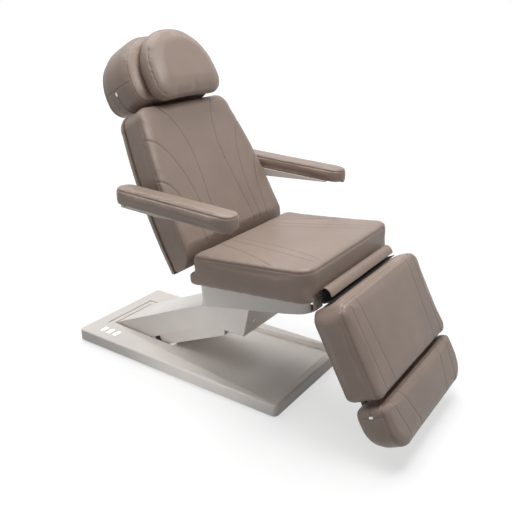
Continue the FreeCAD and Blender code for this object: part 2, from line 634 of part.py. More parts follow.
# Seat pan: a moulded wedge tray, deep behind and shallow in front, notched for the hinges
pan = new_body("SeatPan")
pan_end = size.seat_length - size.pan_front
pan_rear = -size.board_inset
step_deep = size.pan_step_deep
outline = [(pan_rear, -cushion_under), (pan_rear, -cushion_under - size.pan_rear_deep),
           (size.pan_step, -cushion_under - step_deep), (pan_end, -cushion_under - size.pan_front_deep),
           (pan_end, -cushion_under)]
tub = pad(pan, polygon(pan, "XZ_Plane", outline), pan_half * 2, middle=True)
tub = round_edges(pan, tub, size.pan_corner, is_upright)
wall = size.pan_wall
inner = [(pan_rear + wall, -cushion_under + size.overrun),
         (pan_rear + wall, -cushion_under - size.pan_rear_deep + wall),
         (size.pan_step, -cushion_under - step_deep + wall),
         (pan_end - wall, -cushion_under - size.pan_front_deep + wall),
         (pan_end - wall, -cushion_under + size.overrun)]
hollow_half = pan_half - wall - size.pan_corner_wall
pocket(pan, polygon(pan, "XZ_Plane", inner), hollow_half * 2, middle=True)
notch_half = size.motor_row + size.eye_outer
below = cushion_under + size.pan_rear_deep
notch_low = below - size.pan_corner / 2
notch_high = -cushion_under + size.overrun
rear_notch = rectangle(-notch_half, notch_half, -notch_low, notch_high)
front_notch = rectangle(-notch_half, notch_half, -below, notch_high)
pocket(pan, polygon(pan, "YZ_Plane", rear_notch, pan_rear - size.overrun), wall + size.overrun * 2,
       other_way=True)
pocket(pan, polygon(pan, "YZ_Plane", front_notch, pan_end + size.overrun),
       size.leg_crank + size.eye_outer + size.overrun)
head_hole = size.head_half + size.soft_gap
arm_hole = rectangle(pan_rear - size.overrun, plate_front + wall * 2, -head_hole + wall, head_hole - wall)
pocket(pan, polygon(pan, "XY_Plane", arm_hole, -below - size.overrun), size.pan_rear_deep, other_way=True)
slot_start = leg_tail_ahead + size.motor_box + size.eye_wide
motor_slot = rectangle(slot_start, pan_end - size.leg_crank, -notch_half, -size.motor_row + size.eye_outer)
pocket(pan, polygon(pan, "XY_Plane", motor_slot, -below - size.overrun), size.pan_rear_deep, other_way=True)
keep(pan, "seat_pan", SEAT)


# Upholstery: closed lofts with a crown, drawn-in sides and a tucked underside
def soft_piece(label, frame, outline, thickness, stations):
    """Stack outlines; a station is a share of the thickness and a share of the edge inset."""
    wires = []
    for level_share, inset_share in stations:
        wires.append(outline(inset_share * mm(size.soft_edge), level_share * thickness))
    loft = Part.makeLoft(wires, True, True)
    piece = doc.addObject("Part::Feature", "Soft")
    piece.Shape = loft
    return keep(piece, label, frame) if label else piece


def rounded(low_u, high_u, low_v, high_v, corners, place):
    """A four-sided outline whose corners, low-low first and anticlockwise, have their own radii."""
    ends = [(low_u, low_v, 1, 1), (high_u, low_v, -1, 1), (high_u, high_v, -1, -1), (low_u, high_v, 1, -1)]
    middle_share = 1 - math.sqrt(0.5)
    stops = []
    for (u, v, su, sv), radius in zip(ends, corners):
        along = place(u + su * radius, v)
        across = place(u, v + sv * radius)
        bend = place(u + su * radius * middle_share, v + sv * radius * middle_share)
        stops.append((across, bend, along) if su == sv else (along, bend, across))
    edges = []
    for i in range(4):
        edges.append(Part.Arc(*stops[i]).toShape())
        edges.append(Part.LineSegment(stops[i][2], stops[(i + 1) % 4][0]).toShape())
    return Part.Wire(edges)


PAD_SHARES = [(0.0, 0.133), (0.08, 0.017), (0.45, 0.05), (0.84, 0.0),
              (0.93, 0.05), (0.985, 0.167), (1.0, 0.367)]


def seat_outline(inset, level):
    z = level - mm(size.seat_thick + size.seat_skirt)
    rear = inset + mm(size.rear_round) * (level / mm(seat_deep)) ** rear_power
    return rounded(rear, mm(size.seat_length) - inset, -mm(half_seat) + inset, mm(half_seat) - inset,
                   [mm(size.seat_corner)] * 4, lambda u, v: V(u, v, z))


rear_power = 6
seat_deep = size.seat_thick + size.seat_skirt + size.seat_crown
seat_solid = soft_piece(None, None, seat_outline, mm(seat_deep), PAD_SHARES)
skirt_half = pan_half + size.soft_gap
skirt_room = box(-size.ear_join, -skirt_half, -size.seat_thick - size.seat_skirt - size.overrun,
                 size.seat_length + size.ear_join + size.overrun, skirt_half * 2,
                 size.seat_skirt + size.overrun)


def ear_outline(side):
    """The rear corner of the seat on one side, which bulges below the end of the back."""
    def outline(inset, level):
        z = level - mm(size.seat_thick + size.seat_skirt)
        inner = mm(size.ear_row) + inset
        outer = mm(half_seat) - inset
        low, high = (inner, outer) if side > 0 else (-outer, -inner)
        return rounded(-mm(size.ear_behind) + inset, mm(size.ear_join), low, high,
                       [mm(size.ear_corner)] * 4, lambda u, v: V(u, v, z))
    return outline


EAR_SHARES = [(0.0, 0.133), (0.2, 0.017), (0.7, 0.017), (0.88, 0.1), (1.0, 0.4)]
ear_deep = size.seat_thick + size.seat_skirt - size.ear_top
ears = [soft_piece(None, None, ear_outline(side), mm(ear_deep), EAR_SHARES) for side in (-1, 1)]
crank_room = box(-size.overrun, size.knuckle_row - size.knuckle_thick, -size.seat_thick - size.overrun,
                 size.crank_notch + size.overrun, size.knuckle_thick * 2, size.crank_notch_high + size.overrun)
keep(cut(fuse(seat_solid, *ears), skirt_room, crank_room), "seat_cushion", SEAT)


# Back cushion: wide at the seat, narrower at the shoulders, its lower front cut back to clear the seat
def back_outline(low, high, low_half, mid_half, high_half, corner, x):
    bend_share = 1 - math.sqrt(0.5)
    mid = (low + high) / 2
    right = [V(x, -low_half, low), V(x, -mid_half, mid), V(x, -high_half, high - corner)]
    bend = V(x, -high_half + corner * bend_share, high - corner * bend_share)
    top = V(x, -high_half + corner, high)
    left = [V(x, -p.y, p.z) for p in right]
    edges = [Part.LineSegment(left[0], right[0]).toShape(), Part.Arc(*right).toShape(),
             Part.Arc(right[2], bend, top).toShape(), Part.LineSegment(top, V(x, -top.y, high)).toShape(),
             Part.Arc(V(x, -top.y, high), V(x, -bend.y, bend.z), left[2]).toShape(),
             Part.Arc(left[2], left[1], left[0]).toShape()]
    return Part.Wire(edges)


def back_cushion_outline(inset, level):
    deep = mm(size.back_face + size.back_rear)
    cut_from = mm(size.back_cut_deep + size.back_rear)
    cut_share = max(0.0, (level - cut_from) / (deep - cut_from))
    low = -mm(size.back_low) + max(inset, cut_share * mm(size.back_cut_high + size.back_low))
    return back_outline(low, mm(size.back_high) - inset, mm(size.back_low_half) - inset,
                        mm(size.back_mid_half) - inset, mm(size.back_high_half) - inset, mm(size.back_corner),
                        level - mm(size.back_rear))


BACK_SHARES = [(0.0, 0.133), (0.08, 0.017), (0.45, 0.05), (0.8, 0.0),
               (0.91, 0.067), (0.975, 0.2), (1.0, 0.467)]
back_solid = soft_piece(None, None, back_cushion_outline, mm(size.back_face + size.back_rear), BACK_SHARES)
notch_low_y = size.rail_row - size.rail_width / 2 - size.overrun
notch_wide = size.knuckle_row + size.rail_width - notch_low_y
notch_deep = size.back_rear + size.shell_thick + size.knuckle_radius + size.overrun * 2


def hinge_notches():
    """Room in the back for the two hinge lugs, and for the pin between them."""
    rear = -size.back_rear - size.shell_thick - size.overrun
    low = -size.back_low - size.overrun
    lugs = [box(rear, start, low, notch_deep, notch_wide, size.notch_high - low)
            for start in (notch_low_y, -notch_low_y - notch_wide)]
    groove = box(-size.pin_head, -notch_low_y - size.overrun, low, size.pin_head * 2,
                 (notch_low_y + size.overrun) * 2, size.pin_head - low)
    return lugs + [groove]


keep(cut(back_solid, *hinge_notches()), "back_cushion", BACK)

# Back shell: the upholstered rear panel
shell_solid = doc.addObject("Part::Feature", "Shell")
shell_wires = []
for edge, deep in ((mm(size.shell_inset * 3), mm(size.shell_thick)), (mm(size.shell_inset), 0)):
    shell_wires.append(back_outline(edge - mm(size.back_low), mm(size.back_high) - edge,
                                    mm(size.back_low_half) - edge, mm(size.back_mid_half) - edge,
                                    mm(size.back_high_half) - edge, mm(size.back_corner),
                                    -mm(size.back_rear) - deep))
shell_solid.Shape = Part.makeLoft(shell_wires, True, True)
keep(cut(shell_solid, *hinge_notches()), "back_shell", BACK)

# Back frame: two rails behind the shell, hinge knuckles, the arm axle and the head post sleeves
rail_face = -size.back_rear - size.shell_thick
rail_back = rail_face - size.back_rail_thick
crank_turn = math.radians(180 + mm(size.back_crank_angle) + 90 - mm(size.back_angle) - mm(size.seat_tilt))
crank_text = "((270 + Sizes.back_crank_angle - Sizes.back_angle - Sizes.seat_tilt) * 1 deg)"
back_crank = (Dim(-mm(size.back_crank) * math.cos(crank_turn), "-(Sizes.back_crank * cos%s)" % crank_text),
              Dim(mm(size.back_crank) * math.sin(crank_turn), "Sizes.back_crank * sin%s" % crank_text))
frame_parts = []
origin_pin = (as_dim(0), as_dim(0))
for side in (-1, 1):
    body = new_body("BackKnuckle")
    row = -(size.knuckle_row * side)
    foot_top = size.back_rail_low + size.rail_width
    outline = [(as_dim(0), -size.knuckle_radius), (size.knuckle_radius, as_dim(0)), (rail_face, foot_top),
               (rail_back, foot_top), (rail_back, size.back_rail_low)]
    pad(body, polygon(body, "XZ_Plane", outline, row), size.knuckle_thick, middle=True)
    boss = circles(body, "XZ_Plane", [origin_pin], size.knuckle_radius, row)
    pad(body, boss, size.knuckle_thick, middle=True)
    if side > 0:
        arm = size.knuckle_radius - size.overrun
        pad(body, circles(body, "XZ_Plane", [back_crank], arm, row), size.knuckle_thick, middle=True)
        outline = [(back_crank[0] - arm / 2, back_crank[1] + arm / 2),
                   (back_crank[0] + arm / 2, back_crank[1] - arm / 2), (arm, -arm), (-arm, arm)]
        pad(body, polygon(body, "XZ_Plane", outline, row), size.knuckle_thick, middle=True)
    pocket(body, circles(body, "XZ_Plane", [origin_pin], size.pin_radius + size.pin_gap, row), None, True)
    frame_parts.append(body)
    frame_parts.append(box(rail_back, size.knuckle_row * side - size.rail_width / 2, size.back_rail_low,
                           size.back_rail_thick, size.rail_width, size.back_rail_high - size.back_rail_low))
frame_parts.append(rod_y(back_crank[0], size.knuckle_row, back_crank[1], size.pin_radius,
                         tail_end - size.knuckle_row))
cross_half = size.knuckle_row - size.rail_width / 2
cross_levels = (size.back_rail_low + size.rail_width * 2, size.back_rail_high - size.rail_width)
for level in cross_levels:
    frame_parts.append(box(rail_back, -cross_half, level, size.back_rail_thick, cross_half * 2,
                           size.rail_width))
arm_cover_row = size.arm_rest_row - size.arm_cover_in
axle_half = arm_cover_row + size.arm_cover_half
post_x = rail_face - size.back_rail_thick / 2
frame_parts.append(rod_y(post_x, -axle_half, size.arm_axle_up, size.arm_axle_radius, axle_half * 2))
sleeve_low = size.back_rail_high - size.sleeve_long
for side in (-1, 1):
    frame_parts.append(rod_z(post_x, size.post_row * side, sleeve_low,
                             size.post_radius + size.pin_gap + size.sleeve_wall, size.sleeve_long))
bores = [rod_z(post_x, size.post_row * side, sleeve_low - size.overrun, size.post_radius + size.pin_gap,
               size.sleeve_long + size.overrun * 2) for side in (-1, 1)]
keep(cut(fuse(*frame_parts), *bores), "back_frame", BACK)

# Head rest posts: a bent bar with two legs in the sleeves and a cross bar as tilt axle
posts = [rod_z(post_x, size.post_row * side, size.post_low, size.post_radius, size.post_high - size.post_low)
         for side in (-1, 1)]
posts.append(rod_y(post_x, -size.post_row - size.post_radius, size.post_high, size.cross_radius,
                   (size.post_row + size.post_radius) * 2))
keep(fuse(*posts), "head_posts", BACK)

# Head bracket: a plate behind the head cushion with two ears that turn on the cross bar
ear_outer = size.cross_radius + size.pin_gap + size.sleeve_wall
plate_x = -size.pocket_front - size.head_plate
plate_long = (size.head_high - size.head_low) / 2
bracket_parts = [box(plate_x, -size.post_row, size.post_high + ear_outer, size.head_plate, size.post_row * 2,
                     plate_long)]
for side in (-1, 1):
    ear_y = size.post_row * side / 2 - size.eye_wide / 2
    bracket_parts.append(rod_y(post_x, ear_y, size.post_high, ear_outer, size.eye_wide))
    bracket_parts.append(box(post_x, ear_y, size.post_high, plate_x + size.head_plate - post_x, size.eye_wide,
                             ear_outer * 2))
bore = rod_y(post_x, -size.post_row, size.post_high, size.cross_radius + size.pin_gap, size.post_row * 2)
keep(cut(fuse(*bracket_parts), bore), "head_bracket", BACK)


# Head cushion and its half-round neck pillow
def arched(low, high, half, foot, arch, x):
    return rounded(-half, half, low, high, [foot, foot, arch, arch], lambda u, v: V(x, u, v))


def head_outline(inset, level):
    return arched(mm(size.head_low) + inset, mm(size.head_high) - inset, mm(size.head_rest_half) - inset,
                  mm(size.head_foot_corner) - inset / 2, mm(size.head_arch) - inset,
                  level - mm(size.head_rear))


def pillow_outline(inset, level):
    return arched(mm(size.pillow_low) + inset, mm(size.pillow_high) - inset, mm(size.pillow_half) - inset,
                  mm(size.pillow_foot_corner) - inset / 2, mm(size.pillow_arch) - inset,
                  level + mm(size.head_face + size.soft_gap))


HEAD_SHARES = [(0.0, 0.333), (0.06, 0.1), (0.25, 0.0), (0.75, 0.0), (0.93, 0.1), (1.0, 0.433)]
PILLOW_SHARES = [(0.0, 0.433), (0.2, 0.1), (0.45, 0.0), (0.7, 0.1), (0.88, 0.4), (1.0, 1.133)]
head_solid = soft_piece(None, None, head_outline, mm(size.head_face + size.head_rear), HEAD_SHARES)
pocket_half = size.post_row + size.pocket_side
pocket_low = size.head_low - size.overrun
pocket_deep = size.pocket_rear - size.pocket_front
pocket_high = size.post_high + ear_outer + plate_long + size.overrun
bracket_room = box(-size.pocket_rear, -pocket_half, pocket_low, pocket_deep, pocket_half * 2,
                   pocket_high - pocket_low)
swing_room = box(-size.pocket_rear - size.pocket_swing, -pocket_half, pocket_low,
                 pocket_deep + size.pocket_swing, pocket_half * 2,
                 size.post_high - size.cross_radius - pocket_low)
keep(cut(head_solid, bracket_room, swing_room), "head_cushion", BACK)
soft_piece("neck_pillow", BACK, pillow_outline, mm(size.pillow_thick), PILLOW_SHARES)

# Arm rests: a long padded bar over a moulded wedge that turns on the arm axle
half_arm = size.arm_rest_width / 2
end_round_share = 0.97
ARM_SHARES = [(0.0, 0.083), (0.18, 0.008), (0.5, 0.0), (0.8, 0.017), (0.94, 0.1), (1.0, 0.267)]
for side, name in ((1, "left"), (-1, "right")):
    middle = mm(size.arm_rest_row) * side

    def arm_outline(inset, level, middle=middle):
        z = mm(size.arm_pad_above - size.arm_skirt) + level
        radius = (mm(half_arm) - inset) * end_round_share
        return rounded(-mm(size.arm_rest_rear) + inset, mm(size.arm_rest_front) - inset,
                       middle - mm(half_arm) + inset, middle + mm(half_arm) - inset, [radius] * 4,
                       lambda u, v: V(u, v, z))

    pad_solid = soft_piece(None, None, arm_outline, mm(size.arm_rest_thick + size.arm_skirt), ARM_SHARES)
    room_long = size.arm_rest_rear + size.arm_rest_front
    room_half = size.arm_cover_half + size.arm_cover_in
    room_wide = room_half + size.soft_gap
    room_y = arm_cover_row - room_half if side > 0 else -arm_cover_row - size.arm_cover_half - size.soft_gap
    wedge_room = box(-size.arm_rest_rear, room_y, size.arm_pad_above - size.arm_skirt - size.overrun, room_long,
                     room_wide + size.arm_cover_half, size.arm_skirt + size.overrun)
    keep(cut(pad_solid, wedge_room), "arm_pad_" + name, ARM_REST)
    wedge = new_body("ArmWedge")
    row = -(arm_cover_row * side)
    wedge_rear = -size.arm_rest_rear + size.arm_axle_radius
    wedge_front = size.arm_rest_front - size.arm_cover_short
    wedge_low = size.arm_pad_above - size.arm_cover_deep
    outline = [(wedge_rear, size.arm_pad_above), (wedge_rear, wedge_low), (size.arm_cover_flat, wedge_low),
               (wedge_front, size.arm_pad_above - size.arm_cover_toe), (wedge_front, size.arm_pad_above)]
    pad(wedge, polygon(wedge, "XZ_Plane", outline, row), size.arm_cover_half * 2, middle=True)
    axle_hole = circles(wedge, "XZ_Plane", [origin_pin], size.arm_axle_radius + size.pin_gap, row)
    pocket(wedge, axle_hole, None, True)
    keep(wedge, "arm_cover_" + name, ARM_REST)


# Leg rest: cushion, board and frame on the leg hinge pin
def leg_outline(inset, level):
    z = mm(size.leg_under - size.leg_skirt) + level
    return rounded(mm(size.leg_start) + inset, mm(size.leg_start + size.leg_length) - inset,
                   -mm(size.leg_half) + inset, mm(size.leg_half) - inset, [mm(size.leg_corner)] * 4,
                   lambda u, v: V(u, v, z))


LEG_SHARES = [(0.0, 0.133), (0.1, 0.017), (0.45, 0.05), (0.86, 0.0),
              (0.94, 0.05), (0.985, 0.15), (1.0, 0.333)]
leg_solid = soft_piece(None, None, leg_outline, mm(size.leg_face - size.leg_under + size.leg_skirt), LEG_SHARES)
leg_end = size.leg_start + size.leg_length
board_low = size.leg_under - size.board_thick
leg_board_half = size.leg_half - size.board_edge * 2
skirt_half = leg_board_half + size.soft_gap
skirt_room = box(size.leg_start - size.overrun, -skirt_half, size.leg_under - size.leg_skirt - size.overrun,
                 size.leg_length + size.overrun * 2, skirt_half * 2, size.leg_skirt + size.overrun)
keep(cut(leg_solid, skirt_room), "leg_cushion", LEG)
leg_board = box(size.leg_start + size.board_inset * 2, -leg_board_half, board_low,
                size.leg_length - size.board_inset * 3, leg_board_half * 2, size.board_thick)
keep(group(leg_board), "leg_board", LEG)
leg_turn = math.radians(mm(size.leg_angle + size.seat_tilt) - mm(size.leg_crank_angle))
turn_text = "((Sizes.leg_angle + Sizes.seat_tilt - Sizes.leg_crank_angle) * 1 deg)"
leg_crank = (Dim(mm(size.leg_crank) * math.cos(leg_turn), "Sizes.leg_crank * cos%s" % turn_text),
             Dim(mm(size.leg_crank) * math.sin(leg_turn), "Sizes.leg_crank * sin%s" % turn_text))
frame_parts = []
for side in (-1, 1):
    body = new_body("LegKnuckle")
    row = -(size.knuckle_row * side)
    outline = [(-size.knuckle_radius / 2, -size.knuckle_radius),
               (size.leg_bar_start, board_low - size.rail_height),
               (size.leg_bar_start, board_low), (size.knuckle_radius, board_low)]
    pad(body, polygon(body, "XZ_Plane", outline, row), size.knuckle_thick, middle=True)
    boss = circles(body, "XZ_Plane", [origin_pin], size.knuckle_radius, row)
    pad(body, boss, size.knuckle_thick, middle=True)
    if side < 0:
        arm = size.knuckle_radius - size.overrun
        pad(body, circles(body, "XZ_Plane", [leg_crank], arm, row), size.knuckle_thick, middle=True)
        outline = [(leg_crank[0] - arm, leg_crank[1]), (leg_crank[0] + arm, leg_crank[1]), (arm, as_dim(0)),
                   (-arm, as_dim(0))]
        pad(body, polygon(body, "XZ_Plane", outline, row), size.knuckle_thick, middle=True)
    pocket(body, circles(body, "XZ_Plane", [origin_pin], size.pin_radius + size.pin_gap, row), None, True)
    frame_parts.append(body)
    frame_parts.append(box(size.leg_bar_start - size.overrun, size.knuckle_row * side - size.rail_width / 2,
                           board_low - size.rail_height, leg_end - size.leg_bar_start - size.board_inset,
                           size.rail_width, size.rail_height))
for along in (size.leg_bar_start * 2, leg_end - size.leg_bar_start):
    frame_parts.append(box(along, -cross_half, board_low - size.rail_height, size.rail_width, cross_half * 2,
                           size.rail_height))
frame_parts.append(rod_y(leg_crank[0], -tail_end, leg_crank[1], size.pin_radius, tail_end - size.knuckle_row))
keep(fuse(*frame_parts), "leg_frame", LEG)

# Foot slides: two square runners in guide blocks under the leg board
runner_half = size.runner_size / 2
runner_top = board_low - size.foot_gap
foot_start = leg_end + size.foot_gap
guide_long = size.runner_back / 2
guide_start = leg_end - size.board_inset - guide_long
guide_low = runner_top - size.runner_size - size.sleeve_wall
runner_start = leg_end - size.runner_back
guides = []
runners = []
for side in (-1, 1):
    middle = (size.runner_row + size.rail_width) * side
    block = box(guide_start, middle - size.runner_size, guide_low, guide_long, size.runner_size * 2,
                board_low - guide_low)
    bore_size = size.runner_size + size.pin_gap * 2
    bore_low = runner_top - size.runner_size - size.pin_gap
    bore = box(guide_start - size.overrun, middle - bore_size / 2, bore_low, guide_long + size.overrun * 2,
               bore_size, bore_size)
    guides.append(cut(block, bore))
    runners.append(box(runner_start, middle - runner_half, runner_top - size.runner_size,
                       size.runner_back + size.foot_length / 2, size.runner_size, size.runner_size))
keep(group(*guides), "foot_guides", LEG)
board_half = size.foot_half - size.foot_toe_corner
foot_board = box(foot_start + size.board_inset, -board_half, runner_top,
                 size.foot_length - size.board_inset * 3, board_half * 2, size.foot_under - runner_top)
keep(fuse(*runners, foot_board), "foot_slide", LEG)


# Foot end cushion: straight at the leg rest, with wide round lower corners
def foot_outline(inset, level):
    z = mm(size.foot_under - size.leg_skirt) + level
    heel = mm(size.foot_corner)
    toe = mm(size.foot_toe_corner)
    return rounded(mm(foot_start) + inset, mm(foot_start + size.foot_length) - inset,
                   -mm(size.foot_half) + inset, mm(size.foot_half) - inset, [heel, toe, toe, heel],
                   lambda u, v: V(u, v, z))


FOOT_SHARES = [(0.0, 0.367), (0.12, 0.133), (0.4, 0.017), (0.86, 0.0), (0.95, 0.083), (1.0, 0.367)]
foot_solid = soft_piece(None, None, foot_outline, mm(size.leg_face - size.foot_under + size.leg_skirt),
                        FOOT_SHARES)
skirt_half = board_half + size.soft_gap
skirt_room = box(foot_start - size.overrun, -skirt_half, size.foot_under - size.leg_skirt - size.overrun,
                 size.foot_length - size.board_inset * 2 + size.overrun + size.soft_gap, skirt_half * 2,
                 size.leg_skirt + size.overrun)
keep(cut(foot_solid, skirt_room), "foot_cushion", LEG)

# Gap flap: a stitched leather strip from the seat front towards the leg rest
flap = new_body("GapFlap")
flap_x = size.seat_length - size.flap_tuck
flap_tip = flap_x + size.flap_long
outline = [(flap_x, -size.flap_below), (flap_x, -size.flap_below + size.flap_thick),
           (flap_tip, -size.flap_below - size.flap_ahead + size.flap_thick),
           (flap_tip, -size.flap_below - size.flap_ahead)]
pad(flap, polygon(flap, "XZ_Plane", outline), size.flap_half * 2, middle=True)
keep(flap, "gap_flap", SEAT)


# Linear motors: a housing that swings on its tail pin and a rod that slides in its tube
def linear_motor(name, tail, tip, row, inside):
    reach = math.hypot(tip.x - tail.x, tip.z - tail.z)
    frame = turned(tail.x, tail.z, math.degrees(math.atan2(tip.z - tail.z, tip.x - tail.x)))
    long = Dim(reach, repr(reach))
    half_eye = size.eye_wide / 2
    tube_end = long - size.rod_stroke - size.eye_outer / 2
    box_end = size.tail_outer + size.motor_box
    housing = fuse(rod_y(0, row - half_eye, 0, size.tail_outer, size.eye_wide),
                   rod_x(size.tail_outer - size.overrun, row, 0, size.motor_radius, size.motor_box),
                   rod_x(size.tail_outer, row, 0, size.tube_radius, tube_end - size.tail_outer))
    pin_hole = size.pin_radius + size.pin_gap
    motor = cut(housing, rod_y(0, row - size.motor_radius, 0, pin_hole, size.motor_radius * 2),
                rod_x(box_end, row, 0, size.rod_radius + size.rod_gap, tube_end - box_end + size.overrun))
    keep(motor, name + "_motor", frame)
    rod_start = tube_end - inside
    rod_long = long - size.eye_outer + size.overrun - rod_start
    rod = cut(fuse(rod_x(rod_start, row, 0, size.rod_radius, rod_long),
                   rod_y(long, row - half_eye, 0, size.eye_outer, size.eye_wide)),
              rod_y(long, row - size.motor_radius, 0, size.eye_open, size.motor_radius * 2))
    keep(rod, name + "_rod", frame)


back_tip = BACK.multVec(V(mm(back_crank[0]), 0, mm(back_crank[1])))
leg_tip = LEG.multVec(V(mm(leg_crank[0]), 0, mm(leg_crank[1])))
back_tail = SEAT.multVec(V(mm(size.back_tail_ahead), 0, -mm(size.back_tail_below)))
leg_tail = SEAT.multVec(V(mm(leg_tail_ahead), 0, -mm(size.leg_tail_below)))
linear_motor("lift", V(link_x, 0, link_z), V(head_x, 0, head_z), as_dim(0), size.lift_inside)
linear_motor("back", back_tail, back_tip, size.motor_row, size.back_inside)
linear_motor("leg", leg_tail, leg_tip, -size.motor_row, size.leg_inside)

doc.recompute()
failed = [item.Name for item in doc.Objects if "Invalid" in item.State or "Error" in item.State]
if failed:
    raise RuntimeError("features failed: %s" % failed)
unsound = [node.Label for node in NODES if node.Shape.isNull() or not node.Shape.isValid()]
if unsound:
    raise RuntimeError("pieces without a sound shape: %s" % unsound)
os.makedirs("parts", exist_ok=True)
for node in NODES:
    node.Shape.exportStep("parts/%s.step" % node.Label)
    print(node.Label, len(node.Shape.Solids), round(node.Shape.Volume), node.Shape.BoundBox)
titled = {"arm": ARM, "link": LINK, "head": HEAD, "back": BACK, "leg": LEG, "rest": ARM_REST}
for title, frame in titled.items():
    print(title, frame.Base)
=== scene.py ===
import bmesh
import bpy
import json
import math
import numpy as np
from mathutils import Matrix, Vector, kdtree, noise
from mathutils.bvhtree import BVHTree


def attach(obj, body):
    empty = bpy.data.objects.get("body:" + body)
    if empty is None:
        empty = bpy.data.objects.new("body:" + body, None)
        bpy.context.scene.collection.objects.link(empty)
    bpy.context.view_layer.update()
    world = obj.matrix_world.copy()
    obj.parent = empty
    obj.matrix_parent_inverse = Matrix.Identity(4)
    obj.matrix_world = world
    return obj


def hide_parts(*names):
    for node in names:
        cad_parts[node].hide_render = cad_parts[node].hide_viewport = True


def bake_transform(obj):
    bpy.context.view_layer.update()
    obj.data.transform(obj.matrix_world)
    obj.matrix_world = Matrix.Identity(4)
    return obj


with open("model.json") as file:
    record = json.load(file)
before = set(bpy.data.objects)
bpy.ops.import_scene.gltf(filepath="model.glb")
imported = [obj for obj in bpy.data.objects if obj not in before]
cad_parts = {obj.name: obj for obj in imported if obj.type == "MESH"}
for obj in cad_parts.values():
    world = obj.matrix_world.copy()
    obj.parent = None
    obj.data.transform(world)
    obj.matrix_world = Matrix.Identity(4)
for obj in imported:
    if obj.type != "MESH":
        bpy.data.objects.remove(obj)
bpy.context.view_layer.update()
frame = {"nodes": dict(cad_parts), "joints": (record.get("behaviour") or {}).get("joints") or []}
scene = bpy.context.scene
joint_at = {joint["name"]: Vector(joint.get("pos_m") or (0, 0, 0)) for joint in frame["joints"]}


# Base cover: one vacuum-formed shell of warm white plastic over the steel frame,
# clipped on from above. Its gloss is soft, with faint clouding from the mould.
def shader(name, colour, roughness):
    """A new material and its main shader, with the finish that is the same all over."""
    material = bpy.data.materials.new(name)
    material.use_nodes = True
    main = material.node_tree.nodes["Principled BSDF"]
    main.inputs["Base Color"].default_value = (*colour, 1)
    main.inputs["Roughness"].default_value = roughness
    return material, main


def texture(material, kind, scale, **inputs):
    """A texture node on the piece's own metres."""
    nodes = material.node_tree.nodes
    place = nodes.get("Texture Coordinate") or nodes.new("ShaderNodeTexCoord")
    node = nodes.new("ShaderNodeTex" + kind)
    node.inputs["Scale"].default_value = scale
    for key, value in inputs.items():
        node.inputs[key].default_value = value
    material.node_tree.links.new(place.outputs["Object"], node.inputs["Vector"])
    return node


def ramp(material, source, stops):
    """A colour ramp fed by a texture's value; a stop is a place and a colour."""
    node = material.node_tree.nodes.new("ShaderNodeValToRGB")
    elements = node.color_ramp.elements
    while len(elements) < len(stops):
        elements.new(0.5)
    for element, (place, colour) in zip(elements, stops):
        element.position = place
        element.color = (*colour, 1)
    material.node_tree.links.new(source, node.inputs["Fac"])
    return node.outputs["Color"]


def spread(material, source, low, high):
    """Maps a texture's value to a range, for roughness."""
    node = material.node_tree.nodes.new("ShaderNodeMapRange")
    node.inputs["To Min"].default_value = low
    node.inputs["To Max"].default_value = high
    material.node_tree.links.new(source, node.inputs["Value"])
    return node.outputs["Result"]


def bump(material, source, strength, depth, under=None):
    """A relief from a texture's value, laid over another relief if there is one under it."""
    node = material.node_tree.nodes.new("ShaderNodeBump")
    node.inputs["Strength"].default_value = strength
    node.inputs["Distance"].default_value = depth
    material.node_tree.links.new(source, node.inputs["Height"])
    if under:
        material.node_tree.links.new(under, node.inputs["Normal"])
    return node.outputs["Normal"]


def shade(colour, share):
    """A colour made lighter or darker."""
    return tuple(channel * share for channel in colour)


def moulded(name, colour, roughness, grain_scale, grain_depth, soft_edge):
    """Moulded plastic or coated metal: a clouded tone, an even grain and a soft gloss."""
    material, main = shader(name, colour, roughness)
    links = material.node_tree.links
    cloud = texture(material, "Noise", scale=5, Detail=4)
    cloud_stops = [(0.3, shade(colour, 0.95)), (0.7, shade(colour, 1.03))]
    links.new(ramp(material, cloud.outputs["Fac"], cloud_stops), main.inputs["Base Color"])
    gloss = texture(material, "Noise", scale=40, Detail=5)
    gloss_range = spread(material, gloss.outputs["Fac"], low=roughness - 0.06, high=roughness + 0.08)
    links.new(gloss_range, main.inputs["Roughness"])
    edge = material.node_tree.nodes.new("ShaderNodeBevel")
    edge.samples = 6
    edge.inputs["Radius"].default_value = soft_edge
    grain = texture(material, "Noise", scale=grain_scale, Detail=3)
    rounded = edge.outputs["Normal"]
    relief = bump(material, grain.outputs["Fac"], strength=0.12, depth=grain_depth, under=rounded)
    links.new(relief, main.inputs["Normal"])
    return material


def dress(material, *names):
    """Gives CAD pieces their finish."""
    for name in names:
        mesh = frame["nodes"][name].data
        mesh.materials.clear()
        mesh.materials.append(material)


white_shell = moulded("white_shell", (0.86, 0.81, 0.765), roughness=0.34, grain_scale=900,
                      grain_depth=0.0004, soft_edge=0.004)
dress(white_shell, "base_cover")

# Light windows: three frosted acrylic lenses pressed into the near rear corner of the base.
# They glow white over the small lamps under them.
lens, lens_main = shader("lens", (0.95, 0.95, 0.92), roughness=0.4)
lens_main.inputs["Emission Color"].default_value = (1.0, 0.98, 0.94, 1)
frost = texture(lens, "Noise", scale=300, Detail=3)
glow = spread(lens, frost.outputs["Fac"], low=0.9, high=1.3)
lens.node_tree.links.new(glow, lens_main.inputs["Emission Strength"])
dress(lens, "base_light_windows")

# Mains inlet: a black moulded appliance socket in the rear wall of the base.
# It snaps into a square hole from behind.
black_plastic = moulded("black_plastic", (0.025, 0.025, 0.026), roughness=0.45, grain_scale=1200,
                        grain_depth=0.0003, soft_edge=0.001)
dress(black_plastic, "mains_inlet")

